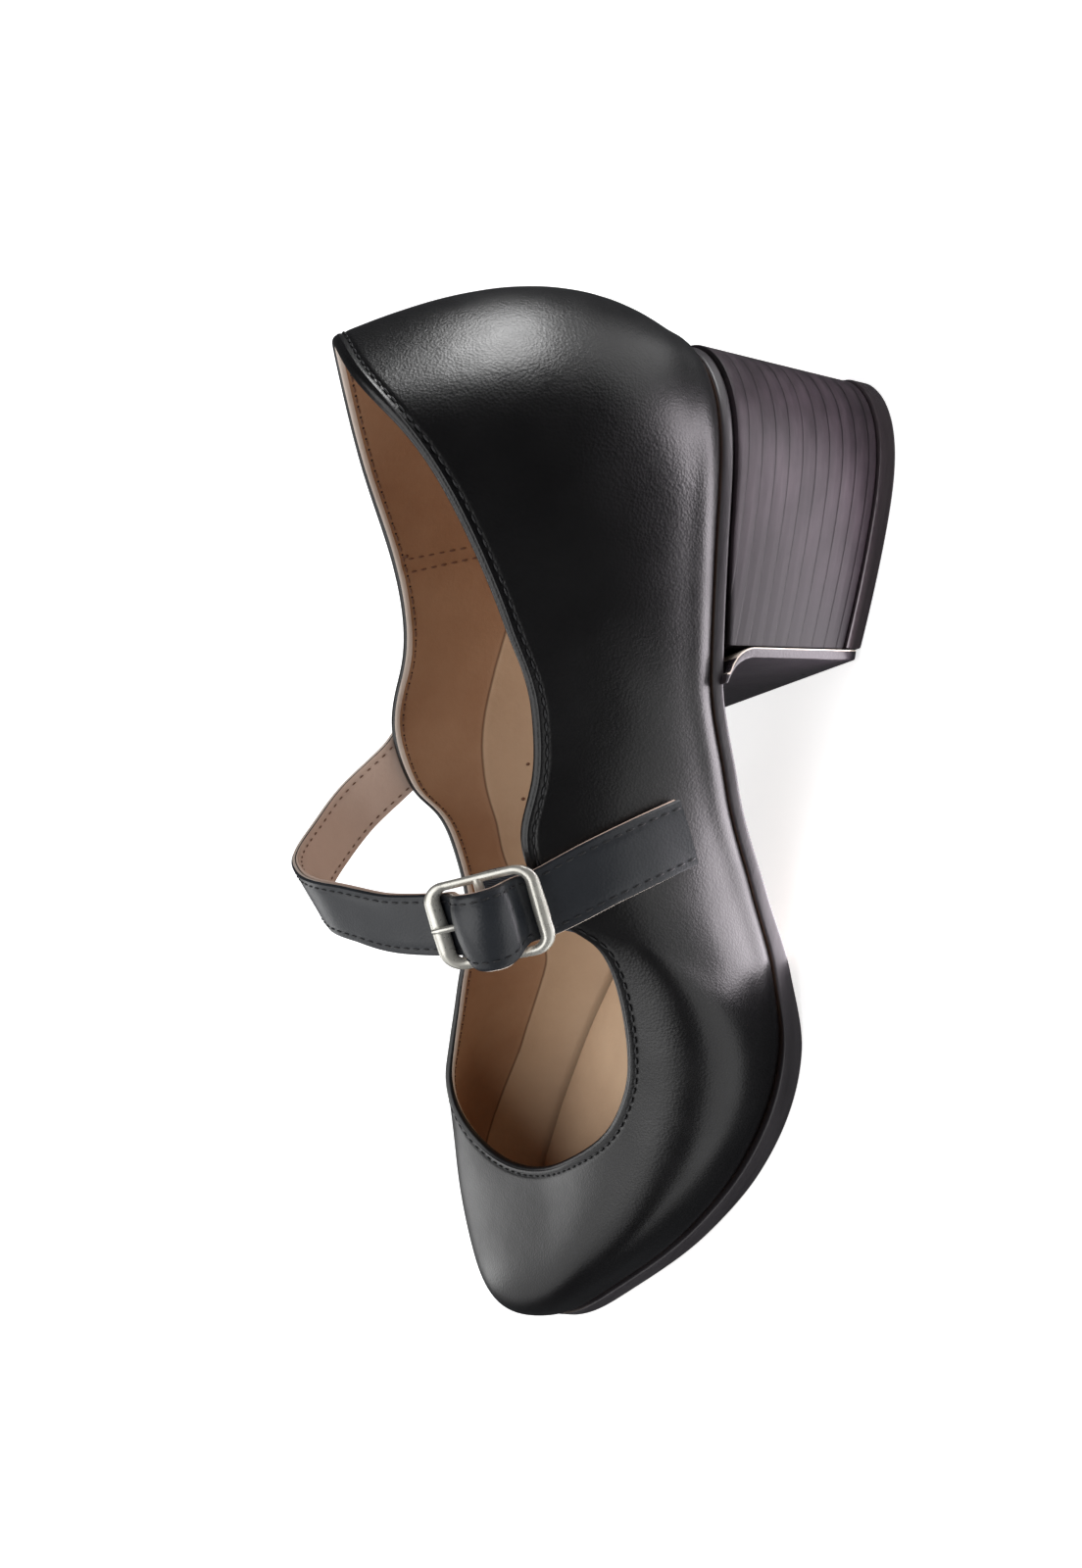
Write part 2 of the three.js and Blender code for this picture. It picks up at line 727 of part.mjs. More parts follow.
// A round rod through places.
function rodSkin(places, radius, count) {
  const path = new THREE.CatmullRomCurve3(places, false, "centripetal");
  const rings = [];
  for (let i = 0; i <= count; i += 1) {
    const at = path.getPoint(i / count);
    const tangent = path.getTangent(i / count);
    const a = buckleOut.clone().addScaledVector(tangent, -buckleOut.dot(tangent));
    if (a.length() < 0.2) {
      a.copy(buckleDown);
    }
    a.addScaledVector(tangent, -a.dot(tangent)).normalize();
    const b = tangent.clone().cross(a).normalize();
    const ring = [];
    for (let n = 0; n < 8; n += 1) {
      const turn = (n / 8) * Math.PI * 2;
      ring.push(at
        .clone()
        .addScaledVector(a, radius * Math.cos(turn))
        .addScaledVector(b, radius * Math.sin(turn)));
    }
    rings.push(ring);
  }
  return tubeSkin(rings);
}
const barEnd = strapWidth / 2 + gap * 2 + buckleWire / 2;
const frameSolid = solidOf(wireRing(buckleWire / 2));
const barPlaces = [onBuckle(0, 0, -barEnd), onBuckle(0, 0, 0), onBuckle(0, 0, barEnd)];
const barSolid = solidOf(rodSkin(barPlaces, barDiameter / 2, 4));

// Prong with its eye around the bar
function prongSkin(extra) {
  const radius = prongDiameter / 2 + extra;
  const eye = barDiameter / 2 + gap + prongDiameter / 2;
  const tip = buckleWire / 2 + gap + prongDiameter / 2;
  const places = [
    onBuckle(-eye * 0.7, eye * 0.7),
    onBuckle(-barReach * 0.45, eye * 0.9),
    onBuckle(-barReach * 0.75, tip),
    onBuckle(-barReach - buckleWire * 0.45, tip),
  ];
  const rings = [];
  for (let i = 0; i < 16; i += 1) {
    const angle = (i / 16) * Math.PI * 2;
    const ring = [];
    const away = buckleDown
      .clone()
      .multiplyScalar(Math.cos(angle))
      .addScaledVector(buckleOut, Math.sin(angle));
    const middle = buckleMiddle.clone().addScaledVector(away, eye);
    for (let n = 0; n < 8; n += 1) {
      const turn = (n / 8) * Math.PI * 2;
      ring.push(middle
        .clone()
        .addScaledVector(away, radius * Math.cos(turn))
        .addScaledVector(buckleSide, radius * Math.sin(turn)));
    }
    rings.push(ring);
  }
  const loop = solidOf(torusSkin(rings));
  const rod = solidOf(rodSkin(places, radius, 10));
  return loop.add(rod);
}
const prongSolid = prongSkin(0);
const slot = prongSkin(gap + 0.1);
add("strap", geometryOf(strapSolid.subtract(slot)), 0x1a1c21, 0.45, 0);
add("buckle_frame", geometryOf(frameSolid.add(barSolid)), 0xd8d2c4, 0.25, 1);
add("buckle_prong", geometryOf(prongSolid), 0xd8d2c4, 0.25, 1);

// Elastic tab that holds the buckle to the inside of the lateral quarter
const tabRing = tabThickness / 2 + gap;
const tabPlace = earLateral + tabShift;
const tabEdge = topAt(tabPlace);
const earLine = topAt(tabPlace + 0.01).point.sub(topAt(tabPlace - 0.01).point).normalize();
const insideSpot = (v) => {
  const normal = upperNormal(tabPlace, v);
  const at = upperPoint(tabPlace, v).addScaledVector(normal, -(wall + tabRing + tabEase));
  return { at, side: layFlat(earLine, normal) };
};
const tabUnder = barDiameter / 2 + gap + prongDiameter + tabRing;
const tabBelow = weave + strapThickness / 2 + tabRing;
const overEar = upperPoint(tabPlace, 0.9);
overEar.sub(tabEdge.point).normalize().multiplyScalar(-(tabRing + gap * 6));
overEar.add(tabEdge.point).addScaledVector(tabEdge.normal, -wall * 0.8);
const tabMarks = [
  { at: onBuckle(-tabThickness, -tabUnder), side: buckleSide },
  { at: onBuckle(barReach * 0.3, -(tabUnder + tabBelow) / 2), side: buckleSide },
  { at: overEar, side: earLine },
  insideSpot(0.88),
  insideSpot(0.74),
];
add("buckle_tab", ribbonSkin(smoothStations(tabMarks, 14), tabWidth, tabThickness), 0x2b3340, 0.8, 0);

// The shoe stands on the floor with its middle over the origin
const box = new THREE.Box3().setFromObject(group);
const middle = box.getCenter(new THREE.Vector3());
group.children.forEach((mesh) => {
  mesh.geometry.translate(-middle.x, -middle.y, -box.min.z);
});

export default group;
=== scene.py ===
import math

import bmesh
import bpy
import numpy as np
from mathutils import Matrix, Vector


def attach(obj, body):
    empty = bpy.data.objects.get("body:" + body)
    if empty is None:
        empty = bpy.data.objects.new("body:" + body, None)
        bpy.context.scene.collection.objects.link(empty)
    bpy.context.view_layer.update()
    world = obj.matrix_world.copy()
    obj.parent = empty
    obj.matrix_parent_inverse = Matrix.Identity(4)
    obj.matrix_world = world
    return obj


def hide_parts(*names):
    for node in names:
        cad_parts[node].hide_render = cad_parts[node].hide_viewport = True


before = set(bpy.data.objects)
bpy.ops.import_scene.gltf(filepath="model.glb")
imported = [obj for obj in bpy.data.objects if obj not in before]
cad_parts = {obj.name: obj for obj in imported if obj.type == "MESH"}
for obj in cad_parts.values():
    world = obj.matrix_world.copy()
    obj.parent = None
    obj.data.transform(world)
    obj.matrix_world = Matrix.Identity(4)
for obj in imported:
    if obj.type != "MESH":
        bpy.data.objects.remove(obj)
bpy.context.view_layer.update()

# Camera
# The shoe stands on its sole. The picture is rolled a quarter turn, toe down, and its middle lies
# to one side of where the lens looks, so the frame is shifted.
IMAGE_HEIGHT = 1600
FOCAL_PIXELS = 1189.56
SENSOR = 36.0
EYE = Vector((-0.0610, 0.2773, 0.1744))
LOOK = Vector((0.3560, -0.9337, 0.0393))
PICTURE_DOWN = Vector((0.9340, 0.3540, -0.0492))
lens = bpy.data.cameras.new("camera")
lens.sensor_width = SENSOR
lens.lens = FOCAL_PIXELS / IMAGE_HEIGHT * SENSOR
lens.shift_x = 624.35 / IMAGE_HEIGHT
lens.shift_y = 251.72 / IMAGE_HEIGHT
lens.clip_start = 0.01
camera = bpy.data.objects.new("camera", lens)
bpy.context.scene.collection.objects.link(camera)
picture_right = PICTURE_DOWN.cross(LOOK).normalized()
turn = Matrix((picture_right, -PICTURE_DOWN, -LOOK)).transposed().to_4x4()
camera.matrix_world = Matrix.Translation(EYE) @ turn
bpy.context.scene.view_settings.view_transform = "Standard"
bpy.context.scene.camera = camera

# Upper
# Vamp and quarters of smooth black leather over a tan lining, lasted under at the sole. The
# topline is folded over and stitched, and the lining's edge shows inside it. The wall follows
# sections of the last, set once around the shoe, in millimetres from the back of the heel.
LENGTH = 242.0
BALL_WIDTH = 82.0
HEEL_HEIGHT = 38.0
QUARTER_HEIGHT = 67.0
TOE_SPRING = 8.5
WALL = 2.2
SOLE_FOREPART = 3.8
SOLE_WAIST = 2.2
MARGIN = 1.4
GAP = 0.3
ORIGIN_IN_LAST = np.array([120.22, 7.57, 0.0])
COLUMNS = ["fx", "fy", "tx", "ty", "rise", "low_lean", "low_pull", "top_lean", "top_pull"]
SECTIONS = np.array([
    [0.029, 0.006, 0.031, 0.000, 1.034, 33, 0.42, 23, 0.38],
    [0.048, 0.189, 0.059, 0.183, 1.036, 32, 0.40, 17, 0.38],
    [0.099, 0.329, 0.095, 0.317, 0.966, 28, 0.38, 13, 0.36],
    [0.178, 0.409, 0.150, 0.384, 0.811, 24, 0.36, 12, 0.34],
    [0.269, 0.451, 0.240, 0.421, 0.641, 24, 0.36, 14, 0.34],
    [0.360, 0.463, 0.310, 0.439, 0.609, 24, 0.36, 16, 0.34],
    [0.434, 0.451, 0.381, 0.451, 0.686, 26, 0.36, 18, 0.34],
    [0.492, 0.470, 0.438, 0.457, 0.783, 28, 0.36, 22, 0.34],
    [0.550, 0.524, 0.499, 0.476, 0.709, 31, 0.36, 33, 0.34],
    [0.612, 0.589, 0.527, 0.500, 0.583, 32, 0.38, 44, 0.36],
    [0.682, 0.589, 0.593, 0.512, 0.463, 32, 0.43, 52, 0.38],
    [0.760, 0.518, 0.658, 0.488, 0.391, 32, 0.46, 58, 0.38],
    [0.839, 0.402, 0.712, 0.415, 0.349, 30, 0.47, 66, 0.40],
    [0.913, 0.262, 0.756, 0.293, 0.314, 27, 0.47, 74, 0.42],
    [0.973, 0.128, 0.790, 0.159, 0.272, 25, 0.48, 79, 0.42],
    [1.000, -0.037, 0.811, 0.024, 0.275, 23, 0.53, 83, 0.44],
    [0.977, -0.201, 0.817, -0.110, 0.327, 24, 0.58, 82, 0.46],
    [0.926, -0.317, 0.806, -0.207, 0.415, 27, 0.62, 78, 0.48],
    [0.851, -0.384, 0.784, -0.280, 0.500, 31, 0.60, 70, 0.46],
    [0.764, -0.396, 0.746, -0.323, 0.555, 33, 0.49, 52, 0.40],
    [0.678, -0.354, 0.685, -0.341, 0.567, 34, 0.42, 36, 0.36],
    [0.591, -0.274, 0.615, -0.341, 0.577, 38, 0.38, 28, 0.34],
    [0.508, -0.207, 0.533, -0.329, 0.575, 40, 0.36, 22, 0.34],
    [0.442, -0.177, 0.460, -0.323, 0.606, 38, 0.36, 18, 0.34],
    [0.393, -0.183, 0.432, -0.317, 0.628, 36, 0.36, 16, 0.34],
    [0.339, -0.213, 0.373, -0.311, 0.655, 33, 0.36, 14, 0.34],
    [0.273, -0.244, 0.297, -0.299, 0.600, 29, 0.36, 13, 0.34],
    [0.198, -0.256, 0.204, -0.287, 0.667, 26, 0.36, 13, 0.34],
    [0.128, -0.250, 0.127, -0.262, 0.804, 24, 0.36, 13, 0.34],
    [0.070, -0.183, 0.060, -0.171, 0.938, 24, 0.38, 14, 0.36],
])
BOTTOM = np.array([
    [0.00, 0.93, 0.00, 0.0],
    [0.15, 0.90, 0.00, 0.0],
    [0.29, 0.79, 0.00, 0.0],
    [0.38, 0.56, 0.00, 0.1],
    [0.47, 0.25, 0.00, 0.4],
    [0.54, 0.06, 0.00, 0.8],
    [0.60, 0.00, 0.00, 1.0],
    [0.72, 0.00, 0.00, 1.0],
    [0.80, 0.00, 0.12, 1.0],
    [0.88, 0.00, 0.38, 1.0],
    [0.95, 0.00, 0.72, 1.0],
    [1.00, 0.00, 1.00, 1.0],
])


def hermite(start, end, leave, arrive, span, t):
    s = 1 - t
    ends = start * s * s * (1 + 2 * t) + end * t * t * (1 + 2 * s)
    return ends + span * t * s * (leave * s - arrive * t)


def open_curve(xs, ys):
    slope = np.diff(ys) / np.diff(xs)
    tangent = [slope[0]]
    for a, b in zip(slope[:-1], slope[1:]):
        tangent.append(0.0 if a * b <= 0 else 2 * a * b / (a + b))
    tangent = np.array(tangent + [slope[-1]])

    def at(x):
        x = np.clip(x, xs[0], xs[-1])
        i = np.clip(np.searchsorted(xs, x, side="right") - 1, 0, len(xs) - 2)
        span = xs[i + 1] - xs[i]
        return hermite(ys[i], ys[i + 1], tangent[i], tangent[i + 1], span, (x - xs[i]) / span)

    return at


def closed_curve(knots, values):
    n = len(values)
    ahead = np.diff(knots)
    before = np.roll(ahead, 1)
    rows = np.zeros((n, n))
    right = np.zeros(n)
    for i in range(n):
        rows[i, i - 1] += 1 / before[i]
        rows[i, i] += 2 / before[i] + 2 / ahead[i]
        rows[i, (i + 1) % n] += 1 / ahead[i]
        right[i] = 3 * (values[i] - values[i - 1]) / before[i] ** 2
        right[i] += 3 * (values[(i + 1) % n] - values[i]) / ahead[i] ** 2
    tangent = np.linalg.solve(rows, right)

    def at(u):
        x = np.mod(u, 1.0) * knots[-1]
        i = np.clip(np.searchsorted(knots, x, side="right") - 1, 0, n - 1)
        j = (i + 1) % n
        t = (x - knots[i]) / ahead[i]
        return hermite(values[i], values[j], tangent[i], tangent[j], ahead[i], t)

    return at


lift_part = open_curve(BOTTOM[:, 0] * LENGTH, BOTTOM[:, 1])
spring_part = open_curve(BOTTOM[:, 0] * LENGTH, BOTTOM[:, 2])
thick_part = open_curve(BOTTOM[:, 0] * LENGTH, BOTTOM[:, 3])
foot_line = SECTIONS[:, :2] * [LENGTH, BALL_WIDTH]
steps = np.diff(foot_line, axis=0, append=foot_line[:1])
knots = np.append(0.0, np.cumsum(np.hypot(steps[:, 0], steps[:, 1])))
section = {name: closed_curve(knots, SECTIONS[:, i]) for i, name in enumerate(COLUMNS)}


def under_z(x):
    return HEEL_HEIGHT * lift_part(x) + TOE_SPRING * spring_part(x)


def over_z(x):
    return under_z(x) + SOLE_WAIST + (SOLE_FOREPART - SOLE_WAIST) * thick_part(x)


def ring(u, name_x, name_y):
    """A closed line of the last and its inward direction, seen from above."""
    step = 0.0005
    x = section[name_x](u) * LENGTH
    y = section[name_y](u) * BALL_WIDTH
    dx = (section[name_x](u + step) - section[name_x](u - step)) * LENGTH
    dy = (section[name_y](u + step) - section[name_y](u - step)) * BALL_WIDTH
    size = np.hypot(dx, dy)
    return x, y, dy / size, -dx / size


def outline(u, inset):
    x, y, in_x, in_y = ring(u, "fx", "fy")
    return x + in_x * inset, y + in_y * inset


def upper_point(u, v):
    """The upper's outer face: u once around, v from the sole up to the topline."""
    x, y, in_x, in_y = ring(u, "fx", "fy")
    low = np.stack([x + in_x * MARGIN, y + in_y * MARGIN, 0 * x], axis=-1)
    low[..., 2] = over_z(low[..., 0]) + GAP
    tx, ty, top_in_x, top_in_y = ring(u, "tx", "ty")
    top = np.stack([tx, ty, low[..., 2] + section["rise"](u) * QUARTER_HEIGHT], axis=-1)
    chord = np.linalg.norm(top - low, axis=-1)
    low_lean = np.radians(section["low_lean"](u))
    top_lean = np.radians(section["top_lean"](u))
    rising = np.stack([-in_x * np.sin(low_lean), -in_y * np.sin(low_lean), np.cos(low_lean)], axis=-1)
    closing = np.stack(
        [top_in_x * np.sin(top_lean), top_in_y * np.sin(top_lean), np.cos(top_lean)], axis=-1
    )
    first = low + rising * (chord * section["low_pull"](u))[..., None]
    second = top - closing * (chord * section["top_pull"](u))[..., None]
    t = np.asarray(v)[..., None]
    s = 1 - t
    return low * s**3 + first * 3 * s * s * t + second * 3 * s * t * t + top * t**3


def unit(vector):
    return vector / np.linalg.norm(vector, axis=-1, keepdims=True)


def upper_frame(u, v):
    """Point, outward normal, upward direction and millimetres for each unit of v."""
    step = 0.002
    low = np.maximum(v - step, 0)
    high = np.minimum(v + step, 1)
    along = upper_point(u + step, v) - upper_point(u - step, v)
    rise = (upper_point(u, high) - upper_point(u, low)) / (high - low)[..., None]
    return upper_point(u, v), unit(np.cross(rise, along)), unit(rise), np.linalg.norm(rise, axis=-1)


def top_run(u):
    """Millimetres for each unit of v, just under the topline."""
    return upper_frame(u, np.full_like(u, 0.99))[3]


def one_frame(u, v):
    return [part[0] for part in upper_frame(np.array([u]), np.array([v]))]


def to_row(points):
    return (np.asarray(points) - ORIGIN_IN_LAST) / 1000


def bump(x, middle, width):
    return np.exp(-(((x - middle) / width) ** 2))


def sheet(columns, rows, form):
    """A grid bent into a form, which takes two shares and gives millimetres."""
    bm = bmesh.new()
    bmesh.ops.create_grid(bm, x_segments=columns, y_segments=rows, size=0.5)
    flat = np.array([vert.co[:2] for vert in bm.verts])
    shares = (flat - flat.min(axis=0)) / (flat.max(axis=0) - flat.min(axis=0))
    way = bm.loops.layers.uv.new("way")
    bm.verts.index_update()
    for face in bm.faces:
        for loop in face.loops:
            loop[way].uv = shares[loop.vert.index]
    for vert, place in zip(bm.verts, to_row(form(shares[:, 0], shares[:, 1]))):
        vert.co = place
    return bm


def close_up(bm, fill=False):
    bmesh.ops.remove_doubles(bm, verts=bm.verts, dist=2e-6)
    if fill:
        bmesh.ops.holes_fill(bm, edges=[e for e in bm.edges if e.is_boundary], sides=0)
    bmesh.ops.recalc_face_normals(bm, faces=bm.faces)


def way_of(bm, face):
    way = bm.loops.layers.uv["way"]
    return sum((loop[way].uv for loop in face.loops), Vector((0, 0))) / len(face.loops)


def add_piece(name, bm, materials, stands_for=()):
    sharp = math.radians(42)
    for face in bm.faces:
        face.smooth = True
    for edge in bm.edges:
        if len(edge.link_faces) == 2 and edge.calc_face_angle(0) > sharp:
            edge.smooth = False
    mesh = bpy.data.meshes.new(name)
    bm.to_mesh(mesh)
    bm.free()
    for material in materials:
        mesh.materials.append(material)
    piece = bpy.data.objects.new(name, mesh)
    bpy.context.scene.collection.objects.link(piece)
    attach(piece, "root")
    if stands_for:
        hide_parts(*stands_for)


def surface(name, roughness, coat=0.0, coat_roughness=0.2, metallic=0.0, specular=0.5):
    """A new material and short ways to add its nodes."""
    material = bpy.data.materials.new(name)
    material.use_nodes = True
    tree = material.node_tree
    shader = tree.nodes["Principled BSDF"]
    shader.inputs["Roughness"].default_value = roughness
    shader.inputs["Coat Weight"].default_value = coat
    shader.inputs["Coat Roughness"].default_value = coat_roughness
    shader.inputs["Metallic"].default_value = metallic
    shader.inputs["Specular IOR Level"].default_value = specular
    place = tree.nodes.new("ShaderNodeTexCoord")
    return material, tree, shader, place


def put(tree, socket, value):
    """Links another node's socket, or sets a fixed value."""
    if isinstance(value, bpy.types.NodeSocket):
        tree.links.new(value, socket)
    else:
        socket.default_value = value


def noise(tree, place, scale, detail=3.0, rough=0.5, stretch=None):
    texture = tree.nodes.new("ShaderNodeTexNoise")
    texture.inputs["Scale"].default_value = scale
    texture.inputs["Detail"].default_value = detail
    texture.inputs["Roughness"].default_value = rough
    source = place.outputs["Object"]
    if stretch:
        mapping = tree.nodes.new("ShaderNodeMapping")
        mapping.inputs["Scale"].default_value = stretch
        tree.links.new(source, mapping.inputs["Vector"])
        source = mapping.outputs["Vector"]
    tree.links.new(source, texture.inputs["Vector"])
    return texture.outputs["Fac"]


def ramp(tree, value, stops):
    node = tree.nodes.new("ShaderNodeValToRGB")
    band = node.color_ramp
    band.elements[0].position, band.elements[0].color = stops[0][0], (*stops[0][1], 1)
    band.elements[1].position, band.elements[1].color = stops[-1][0], (*stops[-1][1], 1)
    for at, colour in stops[1:-1]:
        band.elements.new(at).color = (*colour, 1)
    tree.links.new(value, node.inputs["Fac"])
    return node.outputs["Color"]


def tone(tree, shader, value, dark, light):
    """Colour between a dark and a light tone of one material."""
    tree.links.new(ramp(tree, value, [(0.3, dark), (0.7, light)]), shader.inputs["Base Color"])


def mixed(tree, share, first, second, kind="MIX"):
    node = tree.nodes.new("ShaderNodeMix")
    node.data_type = "RGBA"
    node.blend_type = kind
    for name, value in (("Factor", share), ("A", first), ("B", second)):
        put(tree, node.inputs[name], value)
    return node.outputs["Result"]


def worked_out(tree, operation, *values):
    node = tree.nodes.new("ShaderNodeMath")
    node.operation = operation
    for socket, value in zip(node.inputs, values):
        put(tree, socket, value)
    return node.outputs[0]


def span(tree, value, low, high, start=0.0, end=1.0):
    node = tree.nodes.new("ShaderNodeMapRange")
    node.inputs["From Min"].default_value = start
    node.inputs["From Max"].default_value = end
    node.inputs["To Min"].default_value = low
    node.inputs["To Max"].default_value = high
    tree.links.new(value, node.inputs["Value"])
    return node.outputs["Result"]


def raise_by(tree, shader, heights):
    """Bumps from heights and their depth in metres, one upon another."""
    below = None
    for height, depth in heights:
        node = tree.nodes.new("ShaderNodeBump")
        node.inputs["Strength"].default_value = 1.0
        node.inputs["Distance"].default_value = depth
        tree.links.new(height, node.inputs["Height"])
        if below:
            tree.links.new(below, node.inputs["Normal"])
        below = node.outputs["Normal"]
    tree.links.new(below, shader.inputs["Normal"])


def smooth_leather(name, dark, light, roughness):
    """Full-grain leather with a polished dressing: fine pores and faint uneven gloss."""
    material, tree, shader, place = surface(name, roughness, coat=0.12, coat_roughness=0.22)
    tone(tree, shader, noise(tree, place, 22.0, 4.0, 0.55), dark, light)
    smears = noise(tree, place, 60.0, 5.0, 0.6)
    gloss = span(tree, smears, roughness - 0.05, roughness + 0.08, 0.3, 0.7)
    tree.links.new(gloss, shader.inputs["Roughness"])
    pores = tree.nodes.new("ShaderNodeTexVoronoi")
    pores.inputs["Scale"].default_value = 1900.0
    tree.links.new(place.outputs["Object"], pores.inputs["Vector"])
    ripple = noise(tree, place, 240.0, 3.0, 0.5)
    raise_by(tree, shader, [(pores.outputs["Distance"], 0.000035), (ripple, 0.00006)])
    return material


def fibrous_leather(name):
    """Undyed lining leather: matt and finely fibrous, with clouds for its tone."""
    material, tree, shader, place = surface(name, 0.62)
    raise_by(tree, shader, [(noise(tree, place, 900.0, 4.0, 0.6), 0.00008)])
    return material, tree, shader, noise(tree, place, 30.0, 6.0, 0.6)


def lining_leather(name, dark, light):
    material, tree, shader, clouds = fibrous_leather(name)
    tone(tree, shader, clouds, dark, light)
    return material


upper_black = smooth_leather("upper_black", (0.0012, 0.0009, 0.0011), (0.0026, 0.0022, 0.0027), 0.35)
TAN_DARK = (0.33, 0.165, 0.085)
TAN_LIGHT = (0.45, 0.265, 0.155)
SOCK_DARK = (0.50, 0.335, 0.215)
SOCK_LIGHT = (0.62, 0.44, 0.29)


def two_tone_lining(name):
    """Tan lining with the paler sock turned up over its lower part, a dark line between them."""
    material, tree, shader, clouds = fibrous_leather(name)
    above = ramp(tree, clouds, [(0.3, TAN_DARK), (0.7, TAN_LIGHT)])
    below = ramp(tree, clouds, [(0.3, SOCK_DARK), (0.7, SOCK_LIGHT)])
    height = tree.nodes.new("ShaderNodeAttribute")
    height.attribute_name = "above_sock"
    share = span(tree, height.outputs["Fac"], 0.0, 1.0, -1.5, 1.5)
    side = ramp(tree, share, [(0.47, (0, 0, 0)), (0.53, (1, 1, 1))])
    line = ramp(tree, share, [
        (0.36, (1, 1, 1)), (0.46, (0.45, 0.40, 0.36)), (0.54, (0.45, 0.40, 0.36)), (0.64, (1, 1, 1)),
    ])
    colour = mixed(tree, 1.0, mixed(tree, side, below, above), line, "MULTIPLY")
    tree.links.new(colour, shader.inputs["Base Color"])
    return material


lining_two_tone = two_tone_lining("lining_two_tone")

FOLD_RADIUS = WALL / 2
STITCH_DROP = 2.5
EDGE_ZONE = 6.0
TOPLINE_RUN = 560.0
SEAM_AT = 0.9025
SEAM_LEAN = 0.0135
STITCHED_FACE = WALL - 0.02
OUTER_SHARE = 0.56
RIM_SHARE = 0.64
INNER_SHARE = 0.97
SOCK_EDGE = open_curve(
    np.array([
        0.550, 0.580, 0.598, 0.613, 0.6505, 0.676, 0.711, 0.735, 0.753, 0.777,
        0.7925, 0.8175, 0.8305, 0.842, 0.8555, 0.868, 0.8785, 0.900, 0.925, 0.960,
    ]),
    np.array([
        -0.10, 0.28, 0.315, 0.320, 0.335, 0.358, 0.385, 0.50, 0.62, 0.690,
        0.660, 0.583, 0.542, 0.500, 0.458, 0.430, 0.395, 0.300, 0.150, -0.10,
    ]),
)


def inner_height(u, t):
    """How high up the wall a place of the inner face lies, from 0 at the insole to 1."""
    top_mm = top_run(u)
    v_top = 1 - FOLD_RADIUS / top_mm
    v_edge = 1 - EDGE_ZONE / top_mm
    inner = np.clip((t - RIM_SHARE) / (INNER_SHARE - RIM_SHARE), 0, 1)
    down = np.where(inner < 0.2, inner / 0.2, 1.0)
    rest = np.clip((inner - 0.2) / 0.8, 0, 1)
    return (v_top - (v_top - v_edge) * down) * (1 - rest)


def upper_relief(u, v, mm):
    """Low relief of the outer face: stitch groove, folded edge and lasted lower edge."""
    from_top = (1 - v) * mm
    from_sole = v * mm
    relief = -0.20 * bump(from_top, STITCH_DROP, 0.55)
    relief += 0.14 * bump(from_top, 1.0, 0.9)
    relief -= 0.3 * np.exp(-from_sole / 0.5)
    relief += 0.45 * bump(from_sole, 3.2, 2.4)
    return relief


def seam_place(v):
    """The lining's back seam leans forward a little as it goes down."""
    return SEAM_AT + SEAM_LEAN * (0.94 - v)


def wall_foot(u, depth):
    """The lower edge of the wall on its outer face, or the given depth inside it."""
    point, normal, _, mm = upper_frame(u, np.zeros_like(u))
    if depth == 0:
        return point + normal * upper_relief(u, np.zeros_like(u), mm)[:, None]
    foot = point - normal * depth
    foot[:, 2] = over_z(foot[:, 0]) + GAP
    return foot


def upper_form(u, t):
    top_mm = top_run(u)
    v_top = 1 - FOLD_RADIUS / top_mm
    v_edge = 1 - EDGE_ZONE / top_mm
    outer = np.clip(t / OUTER_SHARE, 0, 1)
    rim = np.clip((t - OUTER_SHARE) / (RIM_SHARE - OUTER_SHARE), 0, 1)
    under = np.clip((t - INNER_SHARE) / (1 - INNER_SHARE), 0, 1)
    low_part = np.clip(outer / 0.66, 0, 1)
    high_part = np.clip((outer - 0.66) / 0.34, 0, 1)
    v_outer = v_edge * low_part + (v_top - v_edge) * high_part
    v_inner = inner_height(u, t)
    point, normal, rise, mm = upper_frame(u, v_outer)
    face = point + normal * upper_relief(u, v_outer, mm)[:, None]
    rim_point, rim_normal, rim_rise, _ = upper_frame(u, v_top)
    middle = rim_point - rim_normal * FOLD_RADIUS
    angle = rim * math.pi
    fold = middle + FOLD_RADIUS * (
        rim_normal * np.cos(angle)[:, None] + rim_rise * np.sin(angle)[:, None]
    )
    in_point, in_normal, _, in_mm = upper_frame(u, v_inner)
    stitch_pull = 0.12 * bump((1 - v_inner) * in_mm, STITCH_DROP, 0.5)
    sock_edge = SOCK_EDGE(u)
    on_sock = np.where(v_inner < sock_edge, 1.0, 0.0)
    ledge = 0.25 * on_sock * np.exp(-(sock_edge - v_inner) * in_mm / 6.0)
    seam = 0.3 * bump((u - seam_place(v_inner)) * TOPLINE_RUN, 0.0, 0.9)
    seam = np.where(v_inner > 0.05, seam, 0.0)
    wrinkle = 0.16 * np.sin((u * TOPLINE_RUN + v_inner * in_mm * 0.6) / 3.1) * bump(u, 0.86, 0.05)
    inside = in_point - in_normal * (WALL - stitch_pull - seam + ledge + wrinkle)[:, None]
    inside[:, 2] = np.maximum(inside[:, 2], over_z(inside[:, 0]) + GAP)
    start = wall_foot(u, WALL)
    below = start + (wall_foot(u, 0) - start) * under[:, None]
    result = np.where((t <= OUTER_SHARE)[:, None], face, fold)
    result = np.where((t >= RIM_SHARE)[:, None], inside, result)
    return np.where((t >= INNER_SHARE)[:, None], below, result)


